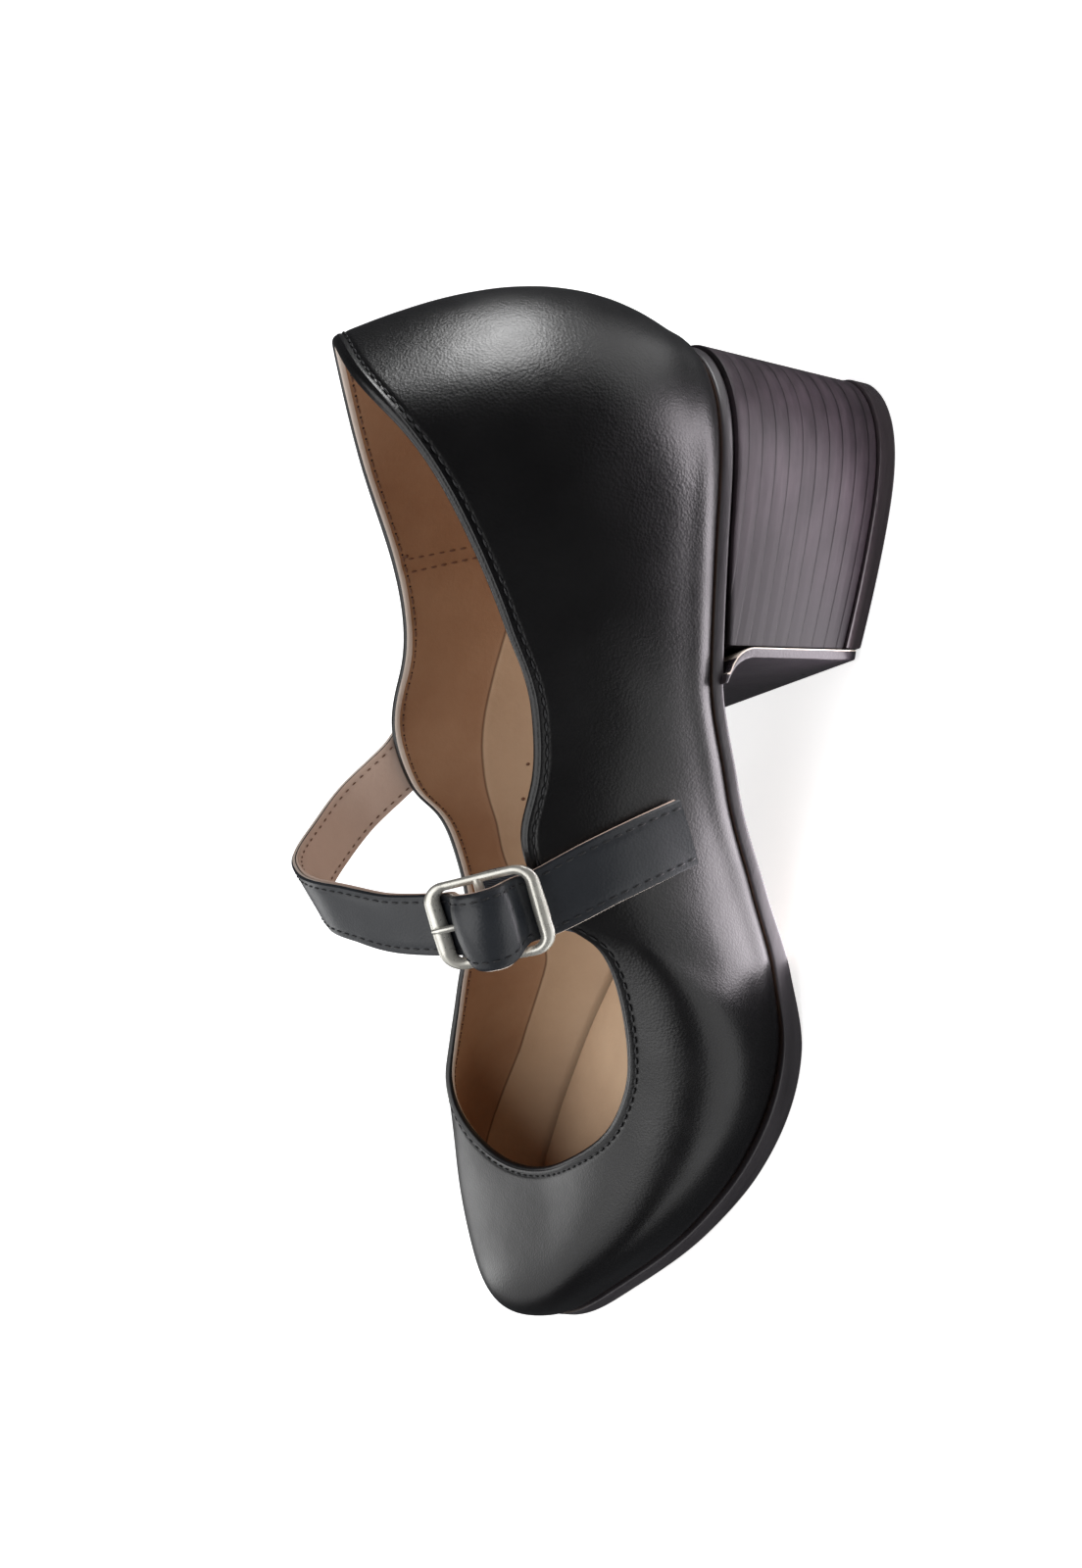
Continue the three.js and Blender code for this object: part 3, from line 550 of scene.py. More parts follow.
bm = sheet(400, 150, upper_form)
LINING_START = RIM_SHARE - (RIM_SHARE - OUTER_SHARE) * 0.28
CUT_EDGE_END = RIM_SHARE + (INNER_SHARE - RIM_SHARE) * 0.012
# Pale cut-edge colour, lighter than the lining's tan: partly the edge's own colour, partly a painted
# highlight along the lit edges.
raw_edge_and_highlight = lining_leather("raw_edge_and_highlight", (0.62, 0.52, 0.45), (0.82, 0.73, 0.65))
for face in bm.faces:
    height = way_of(bm, face).y
    if height > CUT_EDGE_END:
        face.material_index = 1
    elif height > LINING_START:
        face.material_index = 2
way = bm.loops.layers.uv["way"]
shares = np.zeros((len(bm.verts), 2))
for face in bm.faces:
    for loop in face.loops:
        shares[loop.vert.index] = loop[way].uv
on_wall = inner_height(shares[:, 0], shares[:, 1])
wall_mm = upper_frame(shares[:, 0], on_wall)[3]
above_sock = bm.verts.layers.float.new("above_sock")
for vert, distance in zip(bm.verts, (on_wall - SOCK_EDGE(shares[:, 0])) * wall_mm):
    vert[above_sock] = distance
close_up(bm)
add_piece("upper_shell", bm, [upper_black, lining_two_tone, raw_edge_and_highlight], ["upper"])

# Topline stitching
# One row of black thread runs a little inside the folded edge. Inside the shoe the same row shows
# as short brown stitches with a pinhole between each two; each pinhole is a dark bead of painted
# shade.
STITCH_PITCH = 2.55


def thread(name, colour, roughness=0.6):
    material, tree, shader, place = surface(name, roughness)
    tone(tree, shader, noise(tree, place, 2600.0, 2.0, 0.5), tuple(c * 0.7 for c in colour), colour)
    return material


black_thread = thread("black_thread", (0.018, 0.018, 0.02), 0.5)
brown_thread = thread("brown_thread", (0.20, 0.10, 0.06))
# Painted shade: a dark colour for the shade inside each pinhole.
pinhole_shade = thread("pinhole_shade", (0.03, 0.018, 0.014), 0.9)


def even_shares(line, pitch):
    """Shares along a line of points where marks lie a pitch apart."""
    gaps = np.linalg.norm(np.diff(line, axis=0), axis=1)
    run = np.append(0, np.cumsum(gaps))
    count = max(int(run[-1] / pitch), 1)
    return np.interp((np.arange(count) + 0.5) / count * run[-1], run, np.linspace(0, 1, len(run)))


def stitch(bm, at, along, out, length, thick):
    """One stitch: a bead drawn out along the row and bedded in the leather."""
    x = Vector(unit(along))
    z = Vector(unit(out - along * np.dot(out, along) / np.dot(along, along)))
    y = z.cross(x)
    size = Matrix.Diagonal((length / 2000, thick / 2000, thick / 2400, 1))
    turn = Matrix((x, y, z)).transposed().to_4x4()
    matrix = Matrix.Translation(Vector(to_row(at))) @ turn @ size
    bmesh.ops.create_uvsphere(bm, u_segments=8, v_segments=5, radius=1.0, matrix=matrix)


def stitch_row(bm, line_of, count, pitch, length, thick):
    """Stitches along a line given as a function of shares: points and outward directions."""
    shares = np.linspace(0, 1, count)
    marks = even_shares(line_of(shares)[0], pitch)
    points, outs = line_of(marks)
    ahead = line_of(np.minimum(marks + 0.001, 1.0))[0] - line_of(np.maximum(marks - 0.001, 0.0))[0]
    for at, along, out in zip(points, ahead, outs):
        stitch(bm, at, along, out, length, thick)


def outside_row(u):
    return upper_frame(u, 1 - STITCH_DROP / top_run(u))[:2]


def inside_row(u):
    point, normal = outside_row(u)
    return point - normal * STITCHED_FACE, -normal


bm = bmesh.new()
stitch_row(bm, outside_row, 800, STITCH_PITCH, 1.9, 0.42)
add_piece("topline_stitches", bm, [black_thread])
bm = bmesh.new()
stitch_row(bm, inside_row, 800, STITCH_PITCH, 1.5, 0.45)
add_piece("lining_stitches", bm, [brown_thread])
# Dark beads of painted shade stand for the pinholes between the lining stitches.
bm = bmesh.new()
half_stitch = 0.5 * STITCH_PITCH / TOPLINE_RUN
stitch_row(bm, lambda u: inside_row(u + half_stitch), 800, STITCH_PITCH, 0.5, 0.5)
add_piece("lining_pinhole_shade", bm, [pinhole_shade])


def seam_row(shift):
    def line(shares):
        v = 0.93 - 0.75 * shares
        point, normal, _, _ = upper_frame(seam_place(v) + shift, v)
        return point - normal * STITCHED_FACE, -normal

    return line


bm = bmesh.new()
stitch_row(bm, seam_row(0.0022), 300, 2.4, 1.5, 0.5)
stitch_row(bm, seam_row(-0.0022), 300, 2.4, 1.5, 0.5)
for u, v in ((0.9060, 0.925), (0.821, 0.35), (0.804, 0.45)):
    at, normal, _, _ = one_frame(u, v)
    stitch(bm, at - normal * STITCHED_FACE, np.array([0.6, 0.1, 0.8]), -normal, 1.1, 0.9)
add_piece("lining_seam_stitches", bm, [brown_thread])

# Insole
# A thin board covered with a tan leather sock. It is glued down on the lasted edge of the upper and
# closes the shoe from below.
INSOLE_INSET = MARGIN + WALL + 1.3
INSOLE_THICKNESS = 1.6
sock_tan = lining_leather("sock_tan", SOCK_DARK, SOCK_LIGHT)


def across_last(s, t, inset_at):
    """A place inside the sole's outline: s from heel to toe, t from side to side."""
    lateral = outline(s / 2, inset_at(s / 2))
    medial = outline(-s / 2, inset_at(-s / 2))
    return lateral[0] + (medial[0] - lateral[0]) * t, lateral[1] + (medial[1] - lateral[1]) * t


def ease_rims(bm, radius, segments):
    """Rounds the sharp rims by a radius in millimetres."""
    bmesh.ops.recalc_face_normals(bm, faces=bm.faces)
    rims = [e for e in bm.edges if len(e.link_faces) == 2 and e.calc_face_angle(0) > 1.1]
    bmesh.ops.bevel(
        bm, geom=rims, offset=radius / 1000, segments=segments, profile=0.5, affect="EDGES", material=-1
    )


def slab(columns, rows, plan, low, high, round_edge):
    """A closed plate between two heights over a plan, its rims rounded."""

    def top(s, t):
        x, y = plan(s, t)
        return np.stack([x, y, high(x)], axis=-1)

    bm = sheet(columns, rows, top)
    bmesh.ops.remove_doubles(bm, verts=bm.verts, dist=2e-6)
    grown = bmesh.ops.extrude_face_region(bm, geom=bm.faces[:], use_keep_orig=True)
    for item in grown["geom"]:
        if isinstance(item, bmesh.types.BMVert):
            x = item.co.x * 1000 + ORIGIN_IN_LAST[0]
            item.co.z = float(low(np.array([x]))[0]) / 1000
    ease_rims(bm, round_edge, 3)
    return bm


bm = slab(
    150, 24, lambda s, t: across_last(s, t, lambda u: INSOLE_INSET),
    lambda x: over_z(x) + GAP, lambda x: over_z(x) + GAP + INSOLE_THICKNESS, 0.5,
)
add_piece("insole_sock", bm, [sock_tan], ["insole"])

# Outsole
# Thin sole leather stained nearly black, polished on its edge. It is full under the ball, thin at
# the waist, and its flap turns down over the front of the heel with a pale cut edge, its paleness
# partly a painted highlight.
FLAP_THICKNESS = 2.0
FLAP_FILLET = 5.0
FLAP_GROUND = 1.2
HEEL_TAPER = 0.7
HEEL_UNDERCUT = 7.0
BREAST_LATERAL = 67.0
BREAST_MEDIAL = 80.0


def edge_leather(name, dark, light, roughness):
    """Cut and stained leather edge, rubbed to a gloss."""
    material, tree, shader, place = surface(name, roughness, coat=0.2, coat_roughness=0.3)
    tone(tree, shader, noise(tree, place, 180.0, 5.0, 0.6, stretch=(0.25, 0.25, 3.0)), dark, light)
    fine = noise(tree, place, 700.0, 3.0, 0.6, stretch=(0.4, 0.4, 2.0))
    raise_by(tree, shader, [(fine, 0.00005)])
    return material


sole_dark = edge_leather("sole_dark", (0.026, 0.022, 0.026), (0.045, 0.040, 0.045), 0.42)
sole_bottom = lining_leather("sole_bottom", (0.085, 0.065, 0.055), (0.14, 0.11, 0.09))
WAIST_INSET = 1.3
WAIST_END = 165.0
WAIST_FADE = 35.0


def sole_inset(u):
    """The sole is drawn in a little behind the ball, and more towards the waist."""
    x = outline(u, 0.0)[0]
    return WAIST_INSET * np.clip((WAIST_END - x) / WAIST_FADE, 0, 1) ** 2


bm = slab(240, 40, lambda s, t: across_last(s, t, sole_inset), under_z, over_z, 0.55)
for face in bm.faces:
    if face.normal.z < -0.8:
        face.material_index = 1
add_piece("outsole_plate", bm, [sole_dark, sole_bottom], ["outsole"])


def side_at(x, low, high):
    """Where the outline, between two shares of its round, comes to a distance from the heel."""
    for _ in range(40):
        middle = (low + high) / 2
        if outline(np.array([middle]), 0)[0][0] < x:
            low = middle
        else:
            high = middle
    return (low + high) / 2


lateral_turn = side_at(BREAST_LATERAL, 0, 0.45)
medial_turn = side_at(BREAST_MEDIAL, 0, -0.45)
lateral_corner = np.array(outline(lateral_turn, 0))
medial_corner = np.array(outline(medial_turn, 0))
breast_run = medial_corner - lateral_corner
breast_ahead = np.array([-breast_run[1], breast_run[0]]) / np.linalg.norm(breast_run)
heel_middle = (lateral_corner[1] + medial_corner[1]) / 2
heel_rear = float(outline(np.array([0.0]), 0)[0][0])


def breast_at(y):
    return lateral_corner[0] + breast_run[0] * (lateral_corner[1] - y) / -breast_run[1]


def heel_point(x, y, z):
    """The seat's outline drawn in towards the floor."""
    top = under_z(x)
    down = np.clip((top - z) / top, 0, 1)
    front = breast_at(y)
    depth = front - heel_rear
    return np.stack([
        front - (front - x) * (1 - down * HEEL_UNDERCUT / depth),
        heel_middle + (y - heel_middle) * (1 - down * (1 - HEEL_TAPER)),
        z,
    ], axis=-1)


def flap_face(s, t):
    """The flap's front, straight down the breast and curled forward under the waist."""
    x = lateral_corner[0] + breast_run[0] * s
    y = lateral_corner[1] + breast_run[1] * s
    top = under_z(x + breast_ahead[0] * FLAP_FILLET)
    z = FLAP_GROUND + (top + SOLE_WAIST * 0.4 - FLAP_GROUND) * t
    climb = np.maximum(FLAP_FILLET - (top - np.minimum(z, top)), 0)
    curl = FLAP_FILLET - np.sqrt(FLAP_FILLET**2 - climb**2)
    point = heel_point(x, y, z)
    point[:, :2] += np.outer(curl, breast_ahead)
    return point


bm = sheet(40, 48, flap_face)
grown = bmesh.ops.extrude_face_region(bm, geom=bm.faces[:], use_keep_orig=True)
back_step = Vector((breast_ahead[0], breast_ahead[1], 0)) * (-FLAP_THICKNESS / 1000)
for item in grown["geom"]:
    if isinstance(item, bmesh.types.BMVert):
        item.co += back_step
ease_rims(bm, 0.3, 2)
# The flap's side faces take the pale edge colour, which is partly a painted highlight.
for face in bm.faces:
    backward = -(face.normal.x * breast_ahead[0] + face.normal.y * breast_ahead[1])
    if 0.1 < backward < 0.97 and abs(face.normal.z) < 0.8:
        face.material_index = 1
breast_black = smooth_leather("breast_black", (0.022, 0.018, 0.022), (0.036, 0.030, 0.036), 0.3)
add_piece("heel_flap", bm, [breast_black, raw_edge_and_highlight])

# Heel
# Layers of board stacked, nailed, ground to shape and stained purple-brown. The joints between
# the layers show as fine dark lines level with the floor.
LIFT_THICKNESS = 3.6
LIFT_LIP = 0.5
SEAT_INSET = 0.8
LAYER = 2.9


def heel_wall(low, high, inset):
    """The side of a heel layer: round the seat, then straight across the breast."""
    round_share = 0.82
    set_back = FLAP_THICKNESS + GAP

    def form(s, t):
        part = np.clip(s / round_share, 0, 1)
        u = lateral_turn + (medial_turn - lateral_turn) * part
        x, y = outline(u, inset)
        cross = np.clip((s - round_share) / (1 - round_share), 0, 1)
        end_x, end_y = outline(np.full_like(s, lateral_turn), inset)
        start_x, start_y = outline(np.full_like(s, medial_turn), inset)
        x = np.where(s > round_share, start_x + (end_x - start_x) * cross, x)
        y = np.where(s > round_share, start_y + (end_y - start_y) * cross, y)
        nearness = np.clip((x - heel_rear) / np.maximum(breast_at(y) - heel_rear, 1), 0, 1)
        base = low(x)
        point = heel_point(x, y, base + (high(x) - base) * t)
        point[:, :2] -= np.outer(nearness * set_back, breast_ahead)
        return point

    return form


def heel_layer(low, high, inset, rows, round_edge):
    bm = sheet(220, rows, heel_wall(low, high, inset))
    close_up(bm, fill=True)
    rims = [e for e in bm.edges if max(len(f.verts) for f in e.link_faces) > 4]
    bmesh.ops.bevel(
        bm, geom=rims, offset=round_edge / 1000, segments=2, profile=0.5, affect="EDGES", material=-1
    )
    caps = [f for f in bm.faces if len(f.verts) > 4]
    bmesh.ops.triangulate(bm, faces=caps)
    return bm


def stacked_board(name):
    """Stained stack: mottled, with painted shade towards the breast, and a dark line at each joint."""
    material, tree, shader, place = surface(name, 0.55, coat=0.08, coat_roughness=0.35, specular=0.3)
    split = tree.nodes.new("ShaderNodeSeparateXYZ")
    tree.links.new(place.outputs["Object"], split.inputs["Vector"])
    wobble = noise(tree, place, 45.0, 2.0, 0.5)
    height = worked_out(tree, "MULTIPLY_ADD", wobble, 0.0004, split.outputs["Z"])
    within = worked_out(tree, "FRACT", worked_out(tree, "DIVIDE", height, LAYER / 1000))
    joint = ramp(tree, within, [
        (0.0, (0.0, 0.0, 0.0)), (0.10, (0.7, 0.7, 0.7)), (0.5, (1, 1, 1)), (1.0, (0.85, 0.85, 0.85)),
    ])
    fibre = noise(tree, place, 260.0, 5.0, 0.65, stretch=(0.3, 0.3, 3.5))
    patches = noise(tree, place, 70.0, 4.0, 0.6, stretch=(1.0, 1.0, 1.6))
    deep = ramp(tree, fibre, [(0.3, (0.016, 0.010, 0.014)), (0.7, (0.030, 0.021, 0.027))])
    worn = ramp(tree, fibre, [(0.3, (0.030, 0.020, 0.027)), (0.7, (0.056, 0.040, 0.050))])
    rubbed = mixed(tree, span(tree, patches, 0.0, 1.0, 0.35, 0.65), deep, worn)
    # Painted shade: the colour goes near black towards the breast, to darken the front that the lamps
    # light.
    breast_shade_share = span(tree, split.outputs["X"], 0.0, 1.0, -0.085, -0.058)
    with_breast_shade = mixed(tree, breast_shade_share, rubbed, (0.007, 0.005, 0.007, 1))
    tree.links.new(mixed(tree, 0.85, with_breast_shade, joint, "MULTIPLY"), shader.inputs["Base Color"])
    raise_by(tree, shader, [(joint, 0.0002), (fibre, 0.00004)])
    return material


def level(height):
    return lambda x: 0 * x + height


heel_stain = stacked_board("heel_stain")
bm = heel_layer(level(LIFT_THICKNESS + GAP), lambda x: under_z(x) - GAP, SEAT_INSET, 30, 0.35)
add_piece("heel_stack", bm, [heel_stain], ["heel_block"])

lift_black = edge_leather("lift_black", (0.030, 0.022, 0.026), (0.050, 0.040, 0.044), 0.26)
bm = heel_layer(level(0.0), level(LIFT_THICKNESS), SEAT_INSET - LIFT_LIP, 6, 0.5)
add_piece("heel_lift", bm, [lift_black], ["top_lift"])

# Buckle and strap line
# The buckle hangs beside the lateral topline. The strap is sewn to the medial quarter, stands
# slack over the instep, goes under, over and under the buckle's bars, and lies on the quarter.
STRAP_WIDTH = 14.5
STRAP_THICKNESS = 2.2
ARCH_RISE = 22.5
STRAP_BULGE = 1.2
BUCKLE_CORNER = 3.4
BUCKLE_WIRE = 2.2
BUCKLE_LENGTH = 22.6
BAR_DIAMETER = 2.0
PRONG_DIAMETER = 1.5
TAB_WIDTH = 12.0
TAB_THICKNESS = 1.2
EAR_MEDIAL = 0.828
EAR_LATERAL = 0.261
EAR_BAR_SHARE = 0.9
MEDIAL_EAR_BASE = 0.74
MEDIAL_EAR_END = 0.97
EAR_SLANT = 0.014
TAIL_CLEARANCE = 0.25
TAB_EASE = 2.4
TAB_SHIFT = 0.0042
lateral_ear, ear_normal, ear_rise, _ = one_frame(EAR_LATERAL, 1.0)
medial_ear = one_frame(EAR_MEDIAL, 1.0)[0]
buckle_down = unit(np.array([-0.417, 0.54, -0.735]))
buckle_side = np.array([0.93, 0.12, -0.35])
buckle_side = unit(buckle_side - buckle_down * np.dot(buckle_side, buckle_down))
buckle_out = unit(np.cross(buckle_side, buckle_down))
bar_reach = BUCKLE_LENGTH / 2 - BUCKLE_WIRE / 2
weave = BUCKLE_WIRE / 2 + GAP * 2.4 + STRAP_THICKNESS / 2
ear_clearance = weave + STRAP_THICKNESS / 2 + GAP * 2 + TAB_THICKNESS + GAP
buckle_middle = lateral_ear - buckle_down * bar_reach * EAR_BAR_SHARE + buckle_out * ear_clearance


def on_buckle(down, out, side=0.0):
    return buckle_middle + buckle_down * down + buckle_out * out + buckle_side * side


def on_upper(x, z, start):
    """The upper's frame at a place seen from the side, found from a start by Newton's steps."""
    u, v, step = start, 0.7, 0.001
    for _ in range(30):
        p = one_frame(u, v)[0]
        pu = (one_frame(u + step, v)[0] - p) / step
        pv = (one_frame(u, v + step)[0] - p) / step
        det = pu[0] * pv[2] - pv[0] * pu[2]
        ex, ez = x - p[0], z - p[2]
        u += np.clip((ex * pv[2] - ez * pv[0]) / det, -0.03, 0.03)
        v = np.clip(v + np.clip((pu[0] * ez - pu[2] * ex) / det, -0.15, 0.15), 0.05, 0.999)
    return one_frame(u, v)


def lay_flat(side, normal):
    return side - normal * np.dot(side, normal)


def smooth_line(marks):
    """A centripetal curve through marks, as a function of shares."""
    marks = np.array(marks)
    ends = np.vstack([2 * marks[0] - marks[1], marks, 2 * marks[-1] - marks[-2]])

    def at(shares):
        place = np.clip(shares, 0, 1) * (len(marks) - 1)
        i = np.clip(place.astype(int), 0, len(marks) - 2)
        t = (place - i)[:, None]
        p = [ends[i + k] for k in range(4)]
        d = [np.maximum(np.linalg.norm(p[k + 1] - p[k], axis=1), 1e-6)[:, None] ** 0.5 for k in range(3)]
        leave = ((p[1] - p[0]) / d[0] - (p[2] - p[0]) / (d[0] + d[1]) + (p[2] - p[1]) / d[1]) * d[1]
        arrive = ((p[2] - p[1]) / d[1] - (p[3] - p[1]) / (d[1] + d[2]) + (p[3] - p[2]) / d[2]) * d[1]
        return hermite(p[1], p[2], leave, arrive, 1.0, t)

    return at


ARCH = [
    [-0.040, 0.37, 0.56, 0.74, 0.00, -0.66],
    [0.030, 0.64, 0.84, 0.72, -0.04, -0.68],
    [0.170, 0.88, 0.96, 0.70, -0.02, -0.70],
    [0.350, 0.95, 0.88, 0.78, 0.06, -0.60],
    [0.530, 0.90, 0.70, 0.84, 0.10, -0.52],
    [0.690, 0.66, 0.50, 0.88, 0.10, -0.46],
    [0.830, 0.38, 0.32, 0.90, 0.10, -0.42],
]
TAIL = [[0.452, 0.715], [0.433, 0.605], [0.417, 0.494]]
lift = STRAP_THICKNESS / 2 + GAP
ear_side = np.array([0.80, 0.02, -0.60])
tail_side = np.array([0.92, 0.05, -0.39])
marks, sides = [], []
for i in range(3):
    share = MEDIAL_EAR_BASE + (MEDIAL_EAR_END - MEDIAL_EAR_BASE) * i / 2
    at, normal, _, _ = one_frame(EAR_MEDIAL + EAR_SLANT * (1 - i / 2), share)
    marks.append(at + normal * (lift + TAIL_CLEARANCE))
    sides.append(lay_flat(ear_side, normal))
span_end = on_buckle(-bar_reach, -weave)
for share, rise, ahead, side_x, side_y, side_z in ARCH:
    at = medial_ear + (span_end - medial_ear) * share
    marks.append(at + np.array([ahead * ARCH_RISE, 0, rise * ARCH_RISE]))
    sides.append(np.array([side_x, side_y, side_z]))
over_bar = BAR_DIAMETER / 2 + GAP * 2 + PRONG_DIAMETER + STRAP_THICKNESS / 2 + STRAP_BULGE
for down, out in [(-1, -weave), (-0.62, -0.12 * over_bar), (-0.34, 0.72 * over_bar), (0, over_bar),
                  (0.36, 0.74 * over_bar), (0.62, -0.12 * over_bar), (1, -weave)]:
    marks.append(on_buckle(bar_reach * down, out))
    sides.append(buckle_side)
for x, z in TAIL:
    at, normal, _, _ = on_upper(x * LENGTH, z * QUARTER_HEIGHT, 0.27)
    marks.append(at + normal * (lift + TAIL_CLEARANCE))
    sides.append(lay_flat(tail_side, normal))
strap_line = smooth_line(marks)
strap_sides = smooth_line(sides)


def ribbon_frame(line, side_line, shares):
    at = line(shares)
    step = 0.0005
    ahead = unit(line(np.minimum(shares + step, 1)) - line(np.maximum(shares - step, 0)))
    side = side_line(shares)
    side = unit(side - ahead * np.sum(side * ahead, axis=1)[:, None])
    return at, side, unit(np.cross(side, ahead)), ahead


# Strap
# Smooth black leather on a pinkish tan lining, stitched together along both edges, with the cut
# edges left raw; their pale colour is partly a painted highlight. It is crowned a little where it
# goes over the buckle's bar.
strap_black = smooth_leather("strap_black", (0.011, 0.013, 0.017), (0.020, 0.023, 0.028), 0.42)
strap_pink = lining_leather("strap_pink", (0.56, 0.40, 0.32), (0.68, 0.52, 0.43))
LEATHER_LAYER = 1.3
CROWN = 0.15
BULGE_AT = 13 / 19
BULGE_REACH = 0.072
BULGE_OVERHANG = 2.9
BULGE_CROWN = 1.7
EDGE_ROW = STRAP_WIDTH / 2 - 1.7


def swelling(shares):
    """How far the strap has puffed up between the buckle's bars, from 0 to 1."""
    return np.exp(-(((shares - BULGE_AT) / BULGE_REACH) ** 4))


def ribbon(line, side_line, width, low, high, columns, crown=0.0):
    """A closed band along a line, from one level to another; a crowned one swells at the buckle."""
    ease = (high - low) * 0.3
    half = width / 2
    corner_list = [(-half + ease, high), (0, high), (half - ease, high), (half, high - ease),
                   (half, low + ease), (half - ease, low), (0, low), (-half + ease, low),
                   (-half, low + ease), (-half, high - ease), (-half + ease, high)]
    run = np.array(corner_list)
    gaps = np.append(0, np.cumsum(np.linalg.norm(np.diff(run, axis=0), axis=1)))

    def form(s, t):
        at, side, out, _ = ribbon_frame(line, side_line, s)
        a = np.interp(t * gaps[-1], gaps, run[:, 0])
        b = np.interp(t * gaps[-1], gaps, run[:, 1])
        b = b + crown * (1 - (a / half) ** 2)
        if crown:
            b = b - 0.16 * np.sign(b) * bump(np.abs(a), EDGE_ROW, 0.6)
            swell = swelling(s)
            b = b + swell * BULGE_CROWN * (1 - (a / half) ** 2)
            a = a + swell * np.clip(a / half, 0, 1) * BULGE_OVERHANG
        return at + side * a[:, None] + out * b[:, None]

    bm = sheet(columns, 44, form)
    close_up(bm, fill=True)
    return bm


FACE = STRAP_THICKNESS / 2
middle = FACE - LEATHER_LAYER
bm = ribbon(strap_line, strap_sides, STRAP_WIDTH, middle, FACE, 300, CROWN)
places, _, outs, _ = ribbon_frame(strap_line, strap_sides, np.linspace(0, 1, 600))
places = to_row(places)
# The strap's cut edges take the pale edge colour, which is partly a painted highlight.
for face in bm.faces:
    near = int(np.argmin(np.sum((places - np.array(face.calc_center_median())) ** 2, axis=1)))
    if abs(np.dot(np.array(face.normal), outs[near])) < 0.45:
        face.material_index = 1
add_piece("strap_leather", bm, [strap_black, raw_edge_and_highlight], ["strap"])
bm = ribbon(strap_line, strap_sides, STRAP_WIDTH - 0.3, -FACE, middle - 0.04, 300, CROWN)
add_piece("strap_lining", bm, [strap_pink])


def strap_row(offset, height, flip):
    def line(shares):
        at, side, out, _ = ribbon_frame(strap_line, strap_sides, shares)
        swell = swelling(shares)[:, None]
        share = offset / (STRAP_WIDTH / 2)
        crown = (CROWN + swell * BULGE_CROWN) * (1 - share**2)
        across = offset + swell * max(share, 0) * BULGE_OVERHANG
        return at + side * across + out * (height + crown), out * flip

    return line


for name, height, flip, length, thick, colour in (
    ("strap_stitches", FACE - 0.05, 1, 1.7, 0.5, black_thread),
    ("strap_lining_stitches", -FACE, -1, 1.2, 0.4, brown_thread),
):
    bm = bmesh.new()
    for offset in (-EDGE_ROW, EDGE_ROW):
        stitch_row(bm, strap_row(offset, height, flip), 700, 2.4, length, thick)
    add_piece(name, bm, [colour])

# Buckle
# A cast frame with rounded corners and a bar across its middle, plated a pale warm silver. The
# prong is bent round the bar, comes up through the strap and rests on the frame.


def plated(name):
    material, tree, shader, place = surface(name, 0.30, metallic=0.7)
    tone(tree, shader, noise(tree, place, 120.0, 3.0, 0.5), (0.58, 0.56, 0.50), (0.74, 0.73, 0.67))
    scratches = noise(tree, place, 700.0, 4.0, 0.7, stretch=(1.0, 0.2, 1.0))
    tree.links.new(span(tree, scratches, 0.24, 0.36, 0.3, 0.7), shader.inputs["Roughness"])
    raise_by(tree, shader, [(scratches, 0.000002)])
    return material


pale_plate = plated("pale_plate")


def tube(places_of, frame_of, radius_of, columns, rows, closed):
    """A round bar along a line: places, two crossways directions and a radius for each share."""

    def form(s, t):
        at = places_of(s)
        a, b = frame_of(s)
        angle = t * 2 * math.pi
        radius = radius_of(s)
        return at + a * (radius * np.cos(angle))[:, None] + b * (radius * np.sin(angle))[:, None]

    bm = sheet(columns, rows, form)
    close_up(bm, fill=not closed)
    return bm


frame_spread = STRAP_WIDTH / 2 + GAP * 2 + BUCKLE_WIRE / 2


def frame_corner(number, angle):
    """A place on one of the frame's four rounded corners."""
    down = np.array([1, -1, -1, 1])[number] * (bar_reach - BUCKLE_CORNER)
    side = np.array([1, 1, -1, -1])[number] * (frame_spread - BUCKLE_CORNER)
    return down + BUCKLE_CORNER * np.cos(angle), side + BUCKLE_CORNER * np.sin(angle)


def frame_turns(s):
    """The rounded rectangle of the frame: place in its plane and outward direction."""
    quarter = np.minimum((s * 4).astype(int), 3)
    part = s * 4 - quarter
    corner_share = 0.45
    angle = (quarter + np.clip(part / corner_share, 0, 1)) * math.pi / 2
    down, side = frame_corner(quarter, angle)
    next_down, next_side = frame_corner((quarter + 1) % 4, (quarter + 1) * math.pi / 2)
    straight = np.clip((part - corner_share) / (1 - corner_share), 0, 1)
    down = down + (next_down - down) * straight
    side = side + (next_side - side) * straight
    return down, side, angle


def frame_place(s):
    down, side, _ = frame_turns(s)
    return buckle_middle + np.outer(down, buckle_down) + np.outer(side, buckle_side)


def frame_cross(s):
    _, _, angle = frame_turns(s)
    away = np.outer(np.cos(angle), buckle_down) + np.outer(np.sin(angle), buckle_side)
    return away * 1.12, np.outer(np.ones_like(s), buckle_out) * 0.92


def frame_radius(s):
    """Slim along the strap, broad where the strap comes in, middling at the other end."""
    at = [0.0, 0.06, 0.14, 0.25, 0.36, 0.44, 0.52, 0.61, 0.75, 0.86, 0.93, 1.0]
    size = [1.15, 1.0, 0.85, 1.0, 1.42, 1.5, 1.35, 0.8, 0.78, 1.05, 1.2, 1.15]
    return BUCKLE_WIRE / 2 * np.interp(s, at, size)


bm = tube(frame_place, frame_cross, frame_radius, 160, 18, True)
add_piece("buckle_loop", bm, [pale_plate], ["buckle_frame"])
bar_end = STRAP_WIDTH / 2 + GAP * 2 + BUCKLE_WIRE / 2
bm = tube(
    lambda s: buckle_middle + np.outer((s * 2 - 1) * bar_end, buckle_side),
    lambda s: (np.outer(np.ones_like(s), buckle_down), np.outer(np.ones_like(s), buckle_out)),
    lambda s: np.full_like(s, BAR_DIAMETER / 2), 12, 14, False,
)
add_piece("buckle_bar", bm, [pale_plate])

